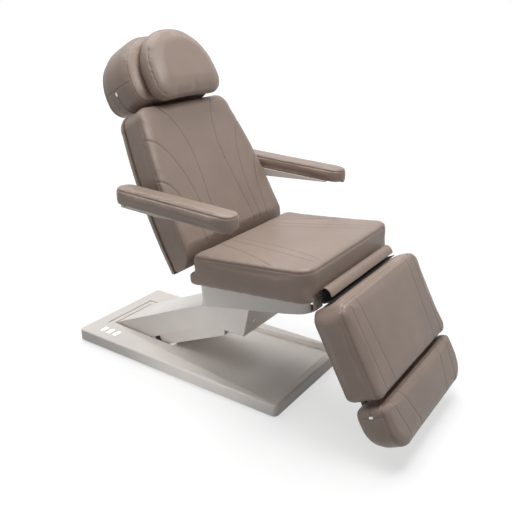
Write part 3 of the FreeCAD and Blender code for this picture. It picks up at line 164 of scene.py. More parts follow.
# Rubber feet: black moulded glides under the frame corners.
# They hold the base a little off the floor.
rubber = moulded("rubber", (0.02, 0.02, 0.02), roughness=0.8, grain_scale=700,
                 grain_depth=0.0005, soft_edge=0.002)
dress(rubber, "rubber_feet")

# Steel work: welded bars, plates and tubes of the base, lift, seat, back and leg rest.
# All of it has black powder coat with a fine orange peel.
black_steel = moulded("black_steel", (0.035, 0.035, 0.037), roughness=0.42, grain_scale=1600,
                      grain_depth=0.0004, soft_edge=0.0015)
dress(black_steel, "base_frame", "pivot_bracket", "lift_arm_bars", "lift_link_bars", "lift_head_bracket",
      "seat_frame", "back_frame", "head_bracket", "leg_frame", "foot_guides", "foot_slide")


# Pins, rods, posts and cover screws: turned bright steel, drawn and polished.
# Fine lathe lines run round them.
def bright(name, colour, roughness):
    """Bare metal with fine turning marks."""
    material, main = shader(name, colour, roughness)
    main.inputs["Metallic"].default_value = 1
    links = material.node_tree.links
    lathe = texture(material, "Noise", scale=700, Detail=4)
    gloss_range = spread(material, lathe.outputs["Fac"], low=roughness - 0.08, high=roughness + 0.12)
    links.new(gloss_range, main.inputs["Roughness"])
    links.new(bump(material, lathe.outputs["Fac"], strength=0.08, depth=0.0002), main.inputs["Normal"])
    return material


bright_steel = bright("bright_steel", (0.62, 0.62, 0.63), roughness=0.25)
dress(bright_steel, "arm_lower_pin", "link_lower_pin", "arm_upper_pin", "link_upper_pin", "back_hinge_pin",
      "leg_hinge_pin", "head_posts", "lift_rod", "back_rod", "leg_rod", "head_cover_screws")

# Motor housings: black glass-filled nylon with a fine spark-eroded texture.
# Each is a gear head and a tube on one tail pin.
motor_housing = moulded("motor_housing", (0.03, 0.03, 0.032), roughness=0.5, grain_scale=1400,
                        grain_depth=0.0006, soft_edge=0.002)
dress(motor_housing, "lift_motor", "back_motor", "leg_motor")

# Lift arm cover, tray, lift head cover, seat pan and arm wedges: the same white shells as the base.
# They hide the bars and are screwed on from below.
dress(white_shell, "arm_upper_cover", "arm_lower_tray", "lift_head_cover", "seat_pan", "arm_cover_left",
      "arm_cover_right")

# Seat and leg boards: birch plywood with the grain along the bed.
# The cushions are stapled to them.
plywood, plywood_main = shader("plywood", (0.42, 0.30, 0.19), roughness=0.6)
rings = texture(plywood, "Wave", scale=18, Distortion=6, Detail=3)
GRAIN_STOPS = [(0.2, (0.36, 0.25, 0.15)), (0.8, (0.47, 0.34, 0.22))]
grain_tone = ramp(plywood, rings.outputs["Fac"], GRAIN_STOPS)
plywood.node_tree.links.new(grain_tone, plywood_main.inputs["Base Color"])
fibre = texture(plywood, "Noise", scale=200, Detail=4)
fibre_bump = bump(plywood, fibre.outputs["Fac"], strength=0.2, depth=0.0003)
plywood.node_tree.links.new(fibre_bump, plywood_main.inputs["Normal"])
dress(plywood, "seat_board", "leg_board")


# Seat cushion: firm moulded foam under soft taupe leatherette, sewn as a top panel and a side band.
# Three sewn lines fan out on each side of the top, and it is stapled to the seat board.
def leatherette(name, colour):
    """Pebbled leatherette with fine creases, and painted shade in its seam grooves."""
    material, main = shader(name, colour, roughness=0.42)
    links = material.node_tree.links
    nodes = material.node_tree.nodes
    cloud = texture(material, "Noise", scale=7, Detail=5)
    cloud_stops = [(0.3, shade(colour, 0.92)), (0.72, shade(colour, 1.06))]
    tone = ramp(material, cloud.outputs["Fac"], cloud_stops)
    # Painted shade: the seam mask darkens the colour along the sewn grooves, where shade falls.
    seam = nodes.new("ShaderNodeAttribute")
    seam.attribute_name = "seam"
    painted_seam_shade = nodes.new("ShaderNodeMix")
    painted_seam_shade.data_type = "RGBA"
    links.new(seam.outputs["Fac"], painted_seam_shade.inputs["Factor"])
    links.new(tone, painted_seam_shade.inputs["A"])
    painted_seam_shade.inputs["B"].default_value = (*shade(colour, 0.54), 1)
    links.new(painted_seam_shade.outputs["Result"], main.inputs["Base Color"])
    gloss = texture(material, "Noise", scale=55, Detail=4)
    links.new(spread(material, gloss.outputs["Fac"], low=0.34, high=0.5), main.inputs["Roughness"])
    pebble = texture(material, "Voronoi", scale=620)
    crease = texture(material, "Noise", scale=70, Detail=6, Roughness=0.6)
    creased = bump(material, crease.outputs["Fac"], strength=0.1, depth=0.0012)
    pebbled = bump(material, pebble.outputs["Distance"], strength=0.16, depth=0.0004, under=creased)
    links.new(pebbled, main.inputs["Normal"])
    main.inputs["Sheen Weight"].default_value = 0.08
    main.inputs["Sheen Roughness"].default_value = 0.5
    return material


taupe = leatherette("taupe_leather", (0.328, 0.246, 0.202))
thread, thread_main = shader("thread", (0.205, 0.155, 0.131), roughness=0.7)
twist = texture(thread, "Wave", scale=900)
twist_bump = bump(thread, twist.outputs["Fac"], strength=0.4, depth=0.0002)
thread.node_tree.links.new(twist_bump, thread_main.inputs["Normal"])


def place(origin, degrees):
    """A piece's own frame: its X points that many degrees above the horizontal, along the bed."""
    return Matrix.Translation(origin) @ Matrix.Rotation(math.radians(-degrees), 4, "Y")


def settled(piece):
    """Bakes a piece's modifiers into its mesh."""
    view = piece.evaluated_get(bpy.context.evaluated_depsgraph_get())
    mesh = bpy.data.meshes.new_from_object(view)
    piece.modifiers.clear()
    old = piece.data
    piece.data = mesh
    bpy.data.meshes.remove(old)


def evened(piece, moves, rounds):
    """Averages the cover's moves with their neighbours', so that it stays taut."""
    ends = np.array([edge.vertices[:] for edge in piece.data.edges])
    field = np.array([move[:] for move in moves])
    count = np.bincount(ends.ravel(), minlength=len(field))[:, None]
    for step in range(rounds):
        total = np.zeros_like(field)
        np.add.at(total, ends[:, 0], field[ends[:, 1]])
        np.add.at(total, ends[:, 1], field[ends[:, 0]])
        field = (field + total / count) / 2
    return [Vector(move) for move in field]


def inflate(piece, cap, rest_side, rest_level):
    """Blows the cover up as cloth; no point moves more than the cap, and the resting side stays put."""
    pressure = 4
    steps = 20
    fade = 4 * cap
    before = [v.co.copy() for v in piece.data.vertices]
    cloth = piece.modifiers.new("Cloth", "CLOTH")
    cloth.settings.use_pressure = True
    cloth.settings.uniform_pressure_force = pressure
    cloth.settings.effector_weights.gravity = 0
    for step in range(1, steps + 1):
        scene.frame_set(step)
    view = piece.evaluated_get(bpy.context.evaluated_depsgraph_get())
    after = [v.co.copy() for v in view.data.vertices]
    piece.modifiers.clear()
    scene.frame_set(1)
    moves = evened(piece, [end - start for start, end in zip(before, after)], rounds=10)
    for vertex, start, move in zip(piece.data.vertices, before, moves):
        if move.length > cap:
            move = move * (cap / move.length)
        height = (start - rest_level).dot(rest_side)
        vertex.co = start + move * min(1, max(0, height / fade))


def cushion(node, own, up, voxel, swell, rounds):
    """A padded copy of a CAD cushion: remeshed, softened, drawn in a little and blown up again."""
    piece = bpy.data.objects.new(node + "_padded", frame["nodes"][node].data.copy())
    scene.collection.objects.link(piece)
    piece.data.materials.clear()
    shell = bmesh.new()
    shell.from_mesh(piece.data)
    bmesh.ops.remove_doubles(shell, verts=shell.verts, dist=0.00002)
    shell.to_mesh(piece.data)
    shell.free()
    remesh = piece.modifiers.new("Remesh", "REMESH")
    remesh.mode = "VOXEL"
    remesh.voxel_size = voxel
    remesh.use_smooth_shade = True
    soften = piece.modifiers.new("Soften", "SMOOTH")
    soften.factor = 0.5
    soften.iterations = rounds
    settled(piece)
    rest_side = (own.to_3x3() @ up).normalized()
    lowest = min(v.co.dot(rest_side) for v in piece.data.vertices)
    draw_in = swell * 0.35
    fade = 4 * swell
    for vertex, normal in [(v, v.normal.copy()) for v in piece.data.vertices]:
        height = vertex.co.dot(rest_side) - lowest
        vertex.co -= normal * draw_in * min(1, height / fade)
    inflate(piece, swell, rest_side, rest_side * lowest)
    finer = piece.modifiers.new("Finer", "SUBSURF")
    finer.levels = 1
    finer.render_levels = 1
    settled(piece)
    piece.data.materials.append(taupe)
    for face in piece.data.polygons:
        face.use_smooth = True
    return piece


def rounded_off(piece, own, corners, sewn, radius):
    """Pulls the corners of a pad in to a wider arc in plan, as the cover does on soft foam."""
    squareness = math.log(2) / math.log(radius / (radius - sewn * (1 - math.sqrt(0.5))))
    to_own = own.inverted()
    for vertex in piece.data.vertices:
        spot = to_own @ vertex.co
        for end_x, way, end_y in corners:
            side = math.copysign(1, end_y)
            over_x = (spot.x - end_x) * way + radius
            over_y = spot.y * side - abs(end_y) + radius
            if over_x > 0 and over_y > 0:
                reach = (over_x ** squareness + over_y ** squareness) ** (1 / squareness)
                share = reach / math.hypot(over_x, over_y)
                spot.x = end_x + way * (over_x * share - radius)
                spot.y = side * (abs(end_y) - radius + over_y * share)
                vertex.co = own @ spot


def parted(piece, own, end_x, way, depth):
    """Draws the end of a pad back from its neighbour, which leaves a dark gap between them."""
    to_own = own.inverted()
    reach = depth * 6
    for vertex in piece.data.vertices:
        spot = to_own @ vertex.co
        inside = (end_x - spot.x) * way
        if inside < reach:
            spot.x -= way * depth * (1 - inside / reach)
            vertex.co = own @ spot


def flowing(marks, pitch):
    """A smooth line through a few marks, sampled at an even pitch."""
    marks = [Vector(mark) for mark in marks]
    ends = [marks[0] * 2 - marks[1]] + marks + [marks[-1] * 2 - marks[-2]]
    line = []
    for i in range(1, len(ends) - 2):
        a, b, c, d = ends[i - 1:i + 3]
        steps = max(2, int((c - b).length / pitch))
        for k in range(steps):
            t = k / steps
            line.append(b + (c - a) * (t / 2) + (a * 2 - b * 5 + c * 4 - d) * (t * t / 2)
                        + (b * 3 - a - c * 3 + d) * (t ** 3 / 2))
    line.append(marks[-1])
    return line


def rim(low_u, high_u, low_v, high_v, radii, pitch):
    """A closed outline with round corners, as places and outward directions, anticlockwise."""
    corners = [(low_u, low_v, 1, 1), (high_u, low_v, -1, 1), (high_u, high_v, -1, -1),
               (low_u, high_v, 1, -1)]
    outline = []
    for i, ((u, v, su, sv), radius) in enumerate(zip(corners, radii)):
        start = math.pi * (1 + i / 2)
        steps = max(4, int(radius * math.pi / 2 / pitch))
        for k in range(steps + 1):
            turn = start + math.pi / 2 * k / steps
            out = Vector((math.cos(turn), math.sin(turn)))
            outline.append((Vector((u + su * radius, v + sv * radius)) + out * radius, out))
    closed = []
    for (a, out_a), (b, out_b) in zip(outline, outline[1:] + outline[:1]):
        steps = max(1, int((b - a).length / pitch))
        for k in range(steps):
            closed.append((a.lerp(b, k / steps), out_a.lerp(out_b, k / steps).normalized()))
    return closed


def surface(piece):
    """A search tree over a piece's faces."""
    places = [v.co for v in piece.data.vertices]
    return BVHTree.FromPolygons(places, [face.vertices for face in piece.data.polygons])


def pressed(tree, own, starts, headings):
    """Where lines from the starts meet the cushion; starts and headings are in its own frame."""
    turn = own.to_3x3()
    line = []
    for start, heading in zip(starts, headings):
        spot, normal, face, far = tree.ray_cast(own @ start, turn @ heading)
        if spot:
            line.append((spot, normal))
    return line


def sew(piece, lines, depth, width, pucker):
    """Draws the cover in along sewn lines, marks the seams for the shader's painted shade and gathers it
    beside them.
    """
    reach = width * 6
    gather_rate = 90
    gather_width = width * 2.5
    seam_shade_width = width * 0.55
    spots = [spot for line in lines for spot, normal in line]
    tree = kdtree.KDTree(len(spots))
    for i, spot in enumerate(spots):
        tree.insert(spot, i)
    tree.balance()
    mark = piece.data.attributes.get("seam") or piece.data.attributes.new("seam", "FLOAT", "POINT")
    moves = []
    for vertex in piece.data.vertices:
        near, i, far = tree.find(vertex.co)
        if far > reach:
            continue
        groove = math.exp(-(far / width) ** 2)
        gather = noise.noise(vertex.co * gather_rate) * math.exp(-(far / gather_width) ** 2)
        moves.append((vertex, vertex.normal * (pucker * gather - depth * groove)))
        # The seam mark says where the shader paints shade into the sewn grooves.
        shown = mark.data[vertex.index]
        shown.value = max(shown.value, math.exp(-(far / seam_shade_width) ** 2))
    for vertex, move in moves:
        vertex.co += move
    piece.data.update()


def stitch_nodes():
    """Geometry nodes that set one small stitch at each step of a line."""
    stitch_length = 3.4
    tree = bpy.data.node_groups.new("Stitches", "GeometryNodeTree")
    tree.interface.new_socket("Geometry", in_out="INPUT", socket_type="NodeSocketGeometry")
    tree.interface.new_socket("Pitch", in_out="INPUT", socket_type="NodeSocketFloat")
    tree.interface.new_socket("Thick", in_out="INPUT", socket_type="NodeSocketFloat")
    tree.interface.new_socket("Geometry", in_out="OUTPUT", socket_type="NodeSocketGeometry")
    nodes = tree.nodes
    given = nodes.new("NodeGroupInput")
    result = nodes.new("NodeGroupOutput")
    curve = nodes.new("GeometryNodeMeshToCurve")
    even = nodes.new("GeometryNodeResampleCurve")
    even.mode = "LENGTH"
    ball = nodes.new("GeometryNodeMeshUVSphere")
    ball.inputs["Segments"].default_value = 6
    ball.inputs["Rings"].default_value = 4
    long = nodes.new("GeometryNodeTransform")
    long.inputs["Scale"].default_value = (1, 1, stitch_length)
    ahead = nodes.new("GeometryNodeInputTangent")
    turn = nodes.new("FunctionNodeAlignRotationToVector")
    turn.axis = "Z"
    each = nodes.new("GeometryNodeInstanceOnPoints")
    real = nodes.new("GeometryNodeRealizeInstances")
    finish = nodes.new("GeometryNodeSetMaterial")
    finish.inputs["Material"].default_value = thread
    link = tree.links.new
    link(given.outputs["Geometry"], curve.inputs["Mesh"])
    link(curve.outputs["Curve"], even.inputs["Curve"])
    link(given.outputs["Pitch"], even.inputs["Length"])
    link(even.outputs["Curve"], each.inputs["Points"])
    link(given.outputs["Thick"], ball.inputs["Radius"])
    link(ball.outputs["Mesh"], long.inputs["Geometry"])
    link(long.outputs["Geometry"], each.inputs["Instance"])
    link(ahead.outputs["Tangent"], turn.inputs["Vector"])
    link(turn.outputs["Rotation"], each.inputs["Rotation"])
    link(each.outputs["Instances"], real.inputs["Geometry"])
    link(real.outputs["Geometry"], finish.inputs["Geometry"])
    link(finish.outputs["Geometry"], result.inputs["Geometry"])
    return tree


stitching = stitch_nodes()


def stitches(name, body, lines, pitch, thick):
    """Thread along sewn lines, each a list of places on the cover."""
    path = bmesh.new()
    for line in lines:
        spots = [path.verts.new(spot) for spot in line]
        for a, b in zip(spots, spots[1:]):
            path.edges.new((a, b))
    mesh = bpy.data.meshes.new(name)
    path.to_mesh(mesh)
    path.free()
    piece = bpy.data.objects.new(name, mesh)
    scene.collection.objects.link(piece)
    rows = piece.modifiers.new("Rows", "NODES")
    rows.node_group = stitching
    for socket in stitching.interface.items_tree:
        if socket.name == "Pitch":
            rows[socket.identifier] = pitch
        if socket.name == "Thick":
            rows[socket.identifier] = thick
    settled(piece)
    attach(piece, body)
    return piece


def lowered(line, depth):
    """A sewn line on its groove's floor."""
    return [spot - normal * depth for spot, normal in line]


def beside(line, offset, depth):
    """A row of topstitching to one side of a seam, on the cover."""
    row = []
    for i, (spot, normal) in enumerate(line):
        ahead = line[(i + 1) % len(line)][0] - line[i - 1][0]
        if ahead.length > 0:
            row.append(spot + normal.cross(ahead).normalized() * offset - normal * depth)
    return row


def lying(level):
    """Places a pad's outline, or a mark of its fan, at a level of a pad that lies down."""
    return lambda spot, height, side=1: Vector((spot[0], spot[1] * side, height + level))


def upright(level):
    """The same for a pad that stands up: its outline runs across the bed first, then up."""
    return lambda spot, height, side=1: Vector((height + level, spot[0] * side, spot[1]))


def edge_seam(tree, own, outline, to_own, slope):
    """A seam round a cushion's edge: rays come in from outside, as steep as the slope says."""
    outside = 0.08
    starts = []
    headings = []
    for spot, out in outline:
        starts.append(to_own(spot + out * outside, outside * slope))
        headings.append((to_own(-out, -slope) - to_own(Vector((0, 0)), 0)).normalized())
    return pressed(tree, own, starts, headings)


line_pitch = 0.003
stitch_pitch = 0.0055
stitch_thick = 0.0005
row_beside = 0.006
row_depth = 0.0004
edge_slope = 0.6


def fan_lines(cover, own, fan, to_own, heading):
    """The sewn lines of a fan on both sides of the middle, pressed onto the cover from outside."""
    lines = []
    for marks in fan:
        for side in (-1, 1):
            path = flowing([to_own(mark, 0, side) for mark in marks], line_pitch)
            lines.append(pressed(cover, own, path, [heading] * len(path)))
    return lines


UP = Vector((0, 0, 1))
DOWN = Vector((0, 0, -1))
seat_own = place(origin=(-0.058227, 0, 0.591968), degrees=5.4)
seat_rear = 0.006
seat_front = 0.496
seat_half = 0.316
seat_sewn = 0.024
seat_round = 0.060
seat = cushion("seat_cushion", seat_own, UP, voxel=0.006, swell=0.004, rounds=3)
seat_corners = [(seat_front, 1, -seat_half), (seat_front, 1, seat_half)]
rounded_off(seat, seat_own, seat_corners, seat_sewn, seat_round)
seat_cover = surface(seat)
SEAT_FAN = [[(0.012, 0.165), (0.17, 0.222), (0.34, 0.300)],
            [(0.006, 0.112), (0.242, 0.165), (0.470, 0.225)],
            [(0.006, 0.083), (0.260, 0.126), (0.470, 0.190)]]
seat_lines = fan_lines(seat_cover, seat_own, SEAT_FAN, lying(level=0.05), DOWN)
seat_radii = [seat_sewn, seat_round, seat_round, seat_sewn]
seat_rim = rim(seat_rear, seat_front, -seat_half, seat_half, seat_radii, line_pitch)
seat_border = edge_seam(seat_cover, seat_own, seat_rim, lying(level=-0.006), edge_slope)
sew(seat, seat_lines, depth=0.0022, width=0.0036, pucker=0.0005)
sew(seat, [seat_border], depth=0.0018, width=0.0032, pucker=0.0008)
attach(seat, "seat")
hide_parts("seat_cushion")
seat_rows = [lowered(line, depth=0.0026) for line in seat_lines]
seat_rows.append(beside(seat_border, row_beside, row_depth))
stitches("seat_stitches", "seat", seat_rows, stitch_pitch, stitch_thick)


# Gap flap: a folded strip of the same leatherette that closes the gap in front of the seat.
# It is tacked under the seat front and arches over the leg rest's hinge.
# Black lining cloth hangs behind it; its black is painted shade for the gap between the flap's edge and the
# leg rest.
def swept(name, profile, half, thick, pitch, finish):
    """A soft strip with an arched profile in x and z, from one side of the bed to the other."""
    waves = 11
    strip = bmesh.new()
    count = int(2 * half / pitch)
    rows = []
    for k in range(count + 1):
        y = -half + 2 * half * k / count
        wave = noise.noise((y * waves, 0, 0)) * thick / 3
        places = [(x, y, z + wave * i / len(profile)) for i, (x, z) in enumerate(profile)]
        rows.append([strip.verts.new(spot) for spot in places])
    for near, far in zip(rows, rows[1:]):
        for a, b, c, d in zip(near, near[1:], far[1:], far):
            strip.faces.new((a, d, c, b))
    mesh = bpy.data.meshes.new(name)
    strip.to_mesh(mesh)
    strip.free()
    piece = bpy.data.objects.new(name, mesh)
    scene.collection.objects.link(piece)
    skin = piece.modifiers.new("Skin", "SOLIDIFY")
    skin.thickness = thick
    skin.offset = 0
    round_over = piece.modifiers.new("Round", "BEVEL")
    round_over.width = thick * 0.4
    round_over.segments = 3
    finer = piece.modifiers.new("Finer", "SUBSURF")
    finer.levels = 1
    settled(piece)
    piece.data.materials.append(finish)
    for face in piece.data.polygons:
        face.use_smooth = True
    return piece


# Painted shade: near-black cloth that darkens the shaded gap behind the flap.
lining_cloth_gap_shade, cloth_main = shader("lining_cloth_gap_shade", (0.02, 0.02, 0.021), roughness=0.85)
weave = texture(lining_cloth_gap_shade, "Voronoi", scale=900)
weave_bump = bump(lining_cloth_gap_shade, weave.outputs["Distance"], strength=0.3, depth=0.0003)
lining_cloth_gap_shade.node_tree.links.new(weave_bump, cloth_main.inputs["Normal"])
FLAP_ARCH = [(0.4950, -0.0790), (0.5005, -0.0745), (0.5070, -0.0725), (0.5140, -0.0735),
             (0.5205, -0.0775), (0.5260, -0.0840), (0.5300, -0.0925), (0.5320, -0.1000)]
flap = swept("flap_folded", FLAP_ARCH, half=0.2418, thick=0.0035, pitch=0.01, finish=taupe)
flap.data.transform(seat_own)
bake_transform(flap)
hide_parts("gap_flap")
# The lining sits in the gap under the flap's tip, where its black paints the shade.
LINING_FALL = [(0.4978, -0.0860), (0.4980, -0.1040), (0.4990, -0.1200), (0.5060, -0.1235),
               (0.5180, -0.1190), (0.5330, -0.1130), (0.5370, -0.1114)]
gap_shade_lining = swept("flap_gap_shade_lining", LINING_FALL, half=0.252, thick=0.0016, pitch=0.02, finish=lining_cloth_gap_shade)
gap_shade_lining.data.transform(seat_own)
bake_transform(gap_shade_lining)

# Back shell: a pressed panel behind the back cushion, covered in the same leatherette.
# Its edge is drawn in under the cushion's band.
dress(taupe, "back_shell")

# Back cushion: a long foam pad in leatherette with three sewn lines a side that sweep down and in.
# It is stapled to the rear shell, and its lower front is cut back over the seat.
back_own = place(joint_at["back_recline"], degrees=28.4)
FORWARD = Vector((1, 0, 0))
back = cushion("back_cushion", back_own, FORWARD, voxel=0.0066, swell=0.004, rounds=3)
back_cover = surface(back)
BACK_FAN = [[(0.300, 0.325), (0.258, 0.290), (0.226, 0.215), (0.205, 0.120), (0.196, 0.062)],
            [(0.275, 0.480), (0.226, 0.442), (0.183, 0.365), (0.158, 0.265), (0.150, 0.140), (0.150, 0.065)],
            [(0.150, 0.588), (0.115, 0.530), (0.088, 0.445), (0.082, 0.345), (0.096, 0.205), (0.108, 0.068)]]
back_lines = fan_lines(back_cover, back_own, BACK_FAN, upright(level=0.15), -FORWARD)


def back_outline():
    """The back's outline from its lower near corner, over the top, to the far one."""
    corner_out = 0.209
    corner_up = 0.547
    radius = 0.058
    top = 0.605
    steps = 24
    side = flowing([(-0.317, 0.03), (-0.312, 0.18), (-0.300, 0.36), (-0.267, corner_up)], line_pitch)
    turns = [math.pi / 2 * k / steps for k in range(steps + 1)]
    corner = [Vector((-corner_out - radius * math.cos(t), corner_up + radius * math.sin(t))) for t in turns]
    half = side + corner
    across = flowing([(-corner_out, top), (corner_out, top)], line_pitch)
    whole = half + across[1:-1] + [Vector((-p.x, p.y)) for p in reversed(half)]
    line = []
    for i, spot in enumerate(whole):
        ahead = whole[min(i + 1, len(whole) - 1)] - whole[max(i - 1, 0)]
        line.append((spot, Vector((-ahead.y, ahead.x)).normalized()))
    return line


back_rim = back_outline()
back_border = edge_seam(back_cover, back_own, back_rim, upright(level=0.049), edge_slope)
back_band = edge_seam(back_cover, back_own, back_rim, upright(level=-0.042), slope=0)
sew(back, back_lines, depth=0.0024, width=0.0038, pucker=0.0005)
sew(back, [back_border, back_band], depth=0.0018, width=0.0032, pucker=0.0008)
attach(back, "back")
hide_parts("back_cushion")
back_rows = [lowered(line, depth=0.0028) for line in back_lines]
back_rows.append(beside(back_border, row_beside, row_depth))
stitches("back_stitches", "back", back_rows, stitch_pitch, stitch_thick)

# Head cushion: a thick boxed pad, rounded at the top, with a welted seam at its front and rear edge.
# A bracket behind it turns on the cross bar of the head posts.
# A zip runs under its near side.
head = cushion("head_cushion", back_own, FORWARD, voxel=0.005, swell=0.004, rounds=8)
head_cover = surface(head)
head_half = 0.226
head_low = 0.608
head_top = 0.880
head_radii = [0.060, 0.060, 0.190, 0.190]
head_rim = rim(-head_half, head_half, head_low, head_top, head_radii, line_pitch)
head_front = edge_seam(head_cover, back_own, head_rim, upright(level=0.046), edge_slope)
head_back = edge_seam(head_cover, back_own, head_rim, upright(level=-0.104), slope=0)
sew(head, [head_front, head_back], depth=0.002, width=0.0034, pucker=0.0009)
ACROSS = Vector((0, 1, 0))
beside_head = -0.3
band_joint = 0.705
joint_path = [Vector((x / 1000, beside_head, band_joint)) for x in range(-114, 42, 2)]
head_joint = pressed(head_cover, back_own, joint_path, [ACROSS] * len(joint_path))
zip_top = 0.690
zip_bend = 0.668
zip_far = -0.05
zip_path = [(Vector((-head_half, zip_top - k * line_pitch)), Vector((-1, 0))) for k in range(7)]
zip_path += [(spot, out) for spot, out in head_rim if spot.x < zip_far and spot.y < zip_bend]
head_zip = edge_seam(head_cover, back_own, zip_path, upright(level=-0.045), slope=0)
sew(head, [head_joint, head_zip], depth=0.0012, width=0.003, pucker=0.0003)
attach(head, "head_rest")
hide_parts("head_cushion")
head_row = 0.005
head_rows = [beside(head_front, -head_row, row_depth), beside(head_back, head_row, row_depth)]
stitches("head_stitches", "head_rest", head_rows, stitch_pitch, stitch_thick)


def zipper(name, body, line, own):
    """A row of fine teeth along a line on the cover, with a small steel pull at its start."""
    tooth = 0.0006
    tooth_pitch = 0.0032
    pull_size = (0.009, 0.003, 0.016, 1)
    pull_lift = 0.0012
    stitches(name + "_teeth", body, [lowered(line, tooth)], tooth_pitch, tooth)
    tab = bmesh.new()
    bmesh.ops.create_cube(tab, size=1)
    bmesh.ops.bevel(tab, geom=tab.edges[:], offset=0.2, segments=2, affect="EDGES")
    mesh = bpy.data.meshes.new(name + "_pull")
    tab.to_mesh(mesh)
    tab.free()
    spot, normal = line[0]
    turned = own.to_3x3().to_4x4() @ Matrix.Diagonal(pull_size)
    mesh.transform(Matrix.Translation(spot + normal * pull_lift) @ turned)
    mesh.materials.append(bright_steel)
    pull = bpy.data.objects.new(name + "_pull", mesh)
    scene.collection.objects.link(pull)
    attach(pull, body)


zipper("head_zip", "head_rest", head_zip, back_own)

# Neck pillow: a soft half-round pillow of leatherette over loose fibre fill.
# It is strapped to the front of the head cushion, with a gathered seam down each side of its face.
pillow = cushion("neck_pillow", back_own, FORWARD, voxel=0.005, swell=0.006, rounds=10)
pillow_cover = surface(pillow)
pillow_half = 0.192
pillow_low = 0.590
pillow_top = 0.868
pillow_radii = [0.060, 0.060, 0.180, 0.180]
pillow_rim = rim(-pillow_half, pillow_half, pillow_low, pillow_top, pillow_radii, line_pitch)
upper_end = 0.80
upper_inner = -0.13
lower_inner = -0.15
turn = len(pillow_rim) // 2
near_side = [(spot, out) for spot, out in pillow_rim[turn:] if spot.x < upper_inner and spot.y < upper_end]
near_side += [(spot, out) for spot, out in pillow_rim[:turn] if spot.x < lower_inner]
pillow_edges = []
for side in (1, -1):
    edge = [(Vector((spot.x * side, spot.y)), Vector((out.x * side, out.y))) for spot, out in near_side]
    pillow_edges.append(edge_seam(pillow_cover, back_own, edge, upright(level=0.128), edge_slope))
sew(pillow, pillow_edges, depth=0.002, width=0.0034, pucker=0.0018)
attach(pillow, "head_rest")
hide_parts("neck_pillow")
pillow_rows = [lowered(line, depth=0.0022) for line in pillow_edges]
stitches("pillow_stitches", "head_rest", pillow_rows, stitch_pitch, stitch_thick)

# Arm rest pads: long foam bars with round ends, in leatherette with a seam round the top panel.
# Each is screwed to a moulded wedge that turns on the arm axle.
arm_own = place(joint_at["arm_left_fold"], degrees=-2.4)
arm_rear = -0.030
arm_front = 0.494
arm_out = 0.367
arm_half = 0.044
arm_radii = [0.042] * 4
for side, name in ((1, "left"), (-1, "right")):
    arm = cushion("arm_pad_" + name, arm_own, UP, voxel=0.004, swell=0.004, rounds=3)
    arm_cover = surface(arm)
    middle = arm_out * side
    arm_rim = rim(arm_rear, arm_front, middle - arm_half, middle + arm_half, arm_radii, line_pitch)
    arm_seam = edge_seam(arm_cover, arm_own, arm_rim, lying(level=0.060), edge_slope)
    sew(arm, [arm_seam], depth=0.0018, width=0.003, pucker=0.0008)
    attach(arm, "arm_" + name)
    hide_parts("arm_pad_" + name)
    arm_rows = [beside(arm_seam, offset=0.004, depth=0.0003)]
    arm_thread = stitches("arm_stitches_" + name, "arm_" + name, arm_rows, pitch=0.005, thick=0.00045)

# Leg rest cushion: a thick square foam pad in leatherette, with two sewn lines near each side.
# It is stapled to the leg board, which hangs from the seat front.
leg_own = place(joint_at["leg_raise"], degrees=-61.7)
leg_start = 0.023
leg_end = 0.366
leg_half = 0.307
leg_sewn = 0.026
leg_upper_round = 0.052
leg_lower_round = 0.040
leg = cushion("leg_cushion", leg_own, UP, voxel=0.006, swell=0.004, rounds=3)
upper_corners = [(leg_start, -1, -leg_half), (leg_start, -1, leg_half)]
lower_corners = [(leg_end, 1, -leg_half), (leg_end, 1, leg_half)]
rounded_off(leg, leg_own, upper_corners, leg_sewn, leg_upper_round)
rounded_off(leg, leg_own, lower_corners, leg_sewn, leg_lower_round)
parted(leg, leg_own, leg_end, way=1, depth=0.003)
leg_cover = surface(leg)
LEG_FAN = [[(0.030, 0.254), (0.360, 0.244)], [(0.030, 0.205), (0.360, 0.175)]]
leg_lines = fan_lines(leg_cover, leg_own, LEG_FAN, lying(level=0.2), DOWN)
leg_seam_end = 0.363
leg_radii = [leg_upper_round, leg_lower_round, leg_lower_round, leg_upper_round]
leg_rim = rim(leg_start, leg_seam_end, -leg_half, leg_half, leg_radii, line_pitch)
leg_border = edge_seam(leg_cover, leg_own, leg_rim, lying(level=0.109), edge_slope)
leg_band = edge_seam(leg_cover, leg_own, leg_rim, lying(level=0.002), slope=0)
sew(leg, leg_lines, depth=0.0013, width=0.0032, pucker=0.0004)
sew(leg, [leg_border, leg_band], depth=0.0018, width=0.0032, pucker=0.0008)
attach(leg, "leg")
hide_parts("leg_cushion")
leg_rows = [lowered(line, depth=0.0016) for line in leg_lines]
leg_rows.append(beside(leg_border, row_beside, row_depth))
stitches("leg_stitches", "leg", leg_rows, stitch_pitch, stitch_thick)

# Foot end cushion: a shorter pad of the same make with wide round lower corners.
# It slides out on two runners under the leg board, and a zip closes its near side.
foot_start = 0.369
foot_seam_start = 0.374
foot_end = 0.551
foot_radii = [0.026, 0.088, 0.088, 0.026]
foot = cushion("foot_cushion", leg_own, UP, voxel=0.005, swell=0.004, rounds=3)
parted(foot, leg_own, foot_start, way=-1, depth=0.005)
foot_cover = surface(foot)
FOOT_FAN = [[(0.376, 0.248), (0.530, 0.211)], [(0.376, 0.176), (0.538, 0.118)]]
foot_lines = fan_lines(foot_cover, leg_own, FOOT_FAN, lying(level=0.2), DOWN)
foot_rim = rim(foot_seam_start, foot_end, -leg_half, leg_half, foot_radii, line_pitch)
foot_border = edge_seam(foot_cover, leg_own, foot_rim, lying(level=0.108), edge_slope)
foot_band = edge_seam(foot_cover, leg_own, foot_rim, lying(level=0.012), slope=0)
sew(foot, foot_lines, depth=0.0013, width=0.0032, pucker=0.0004)
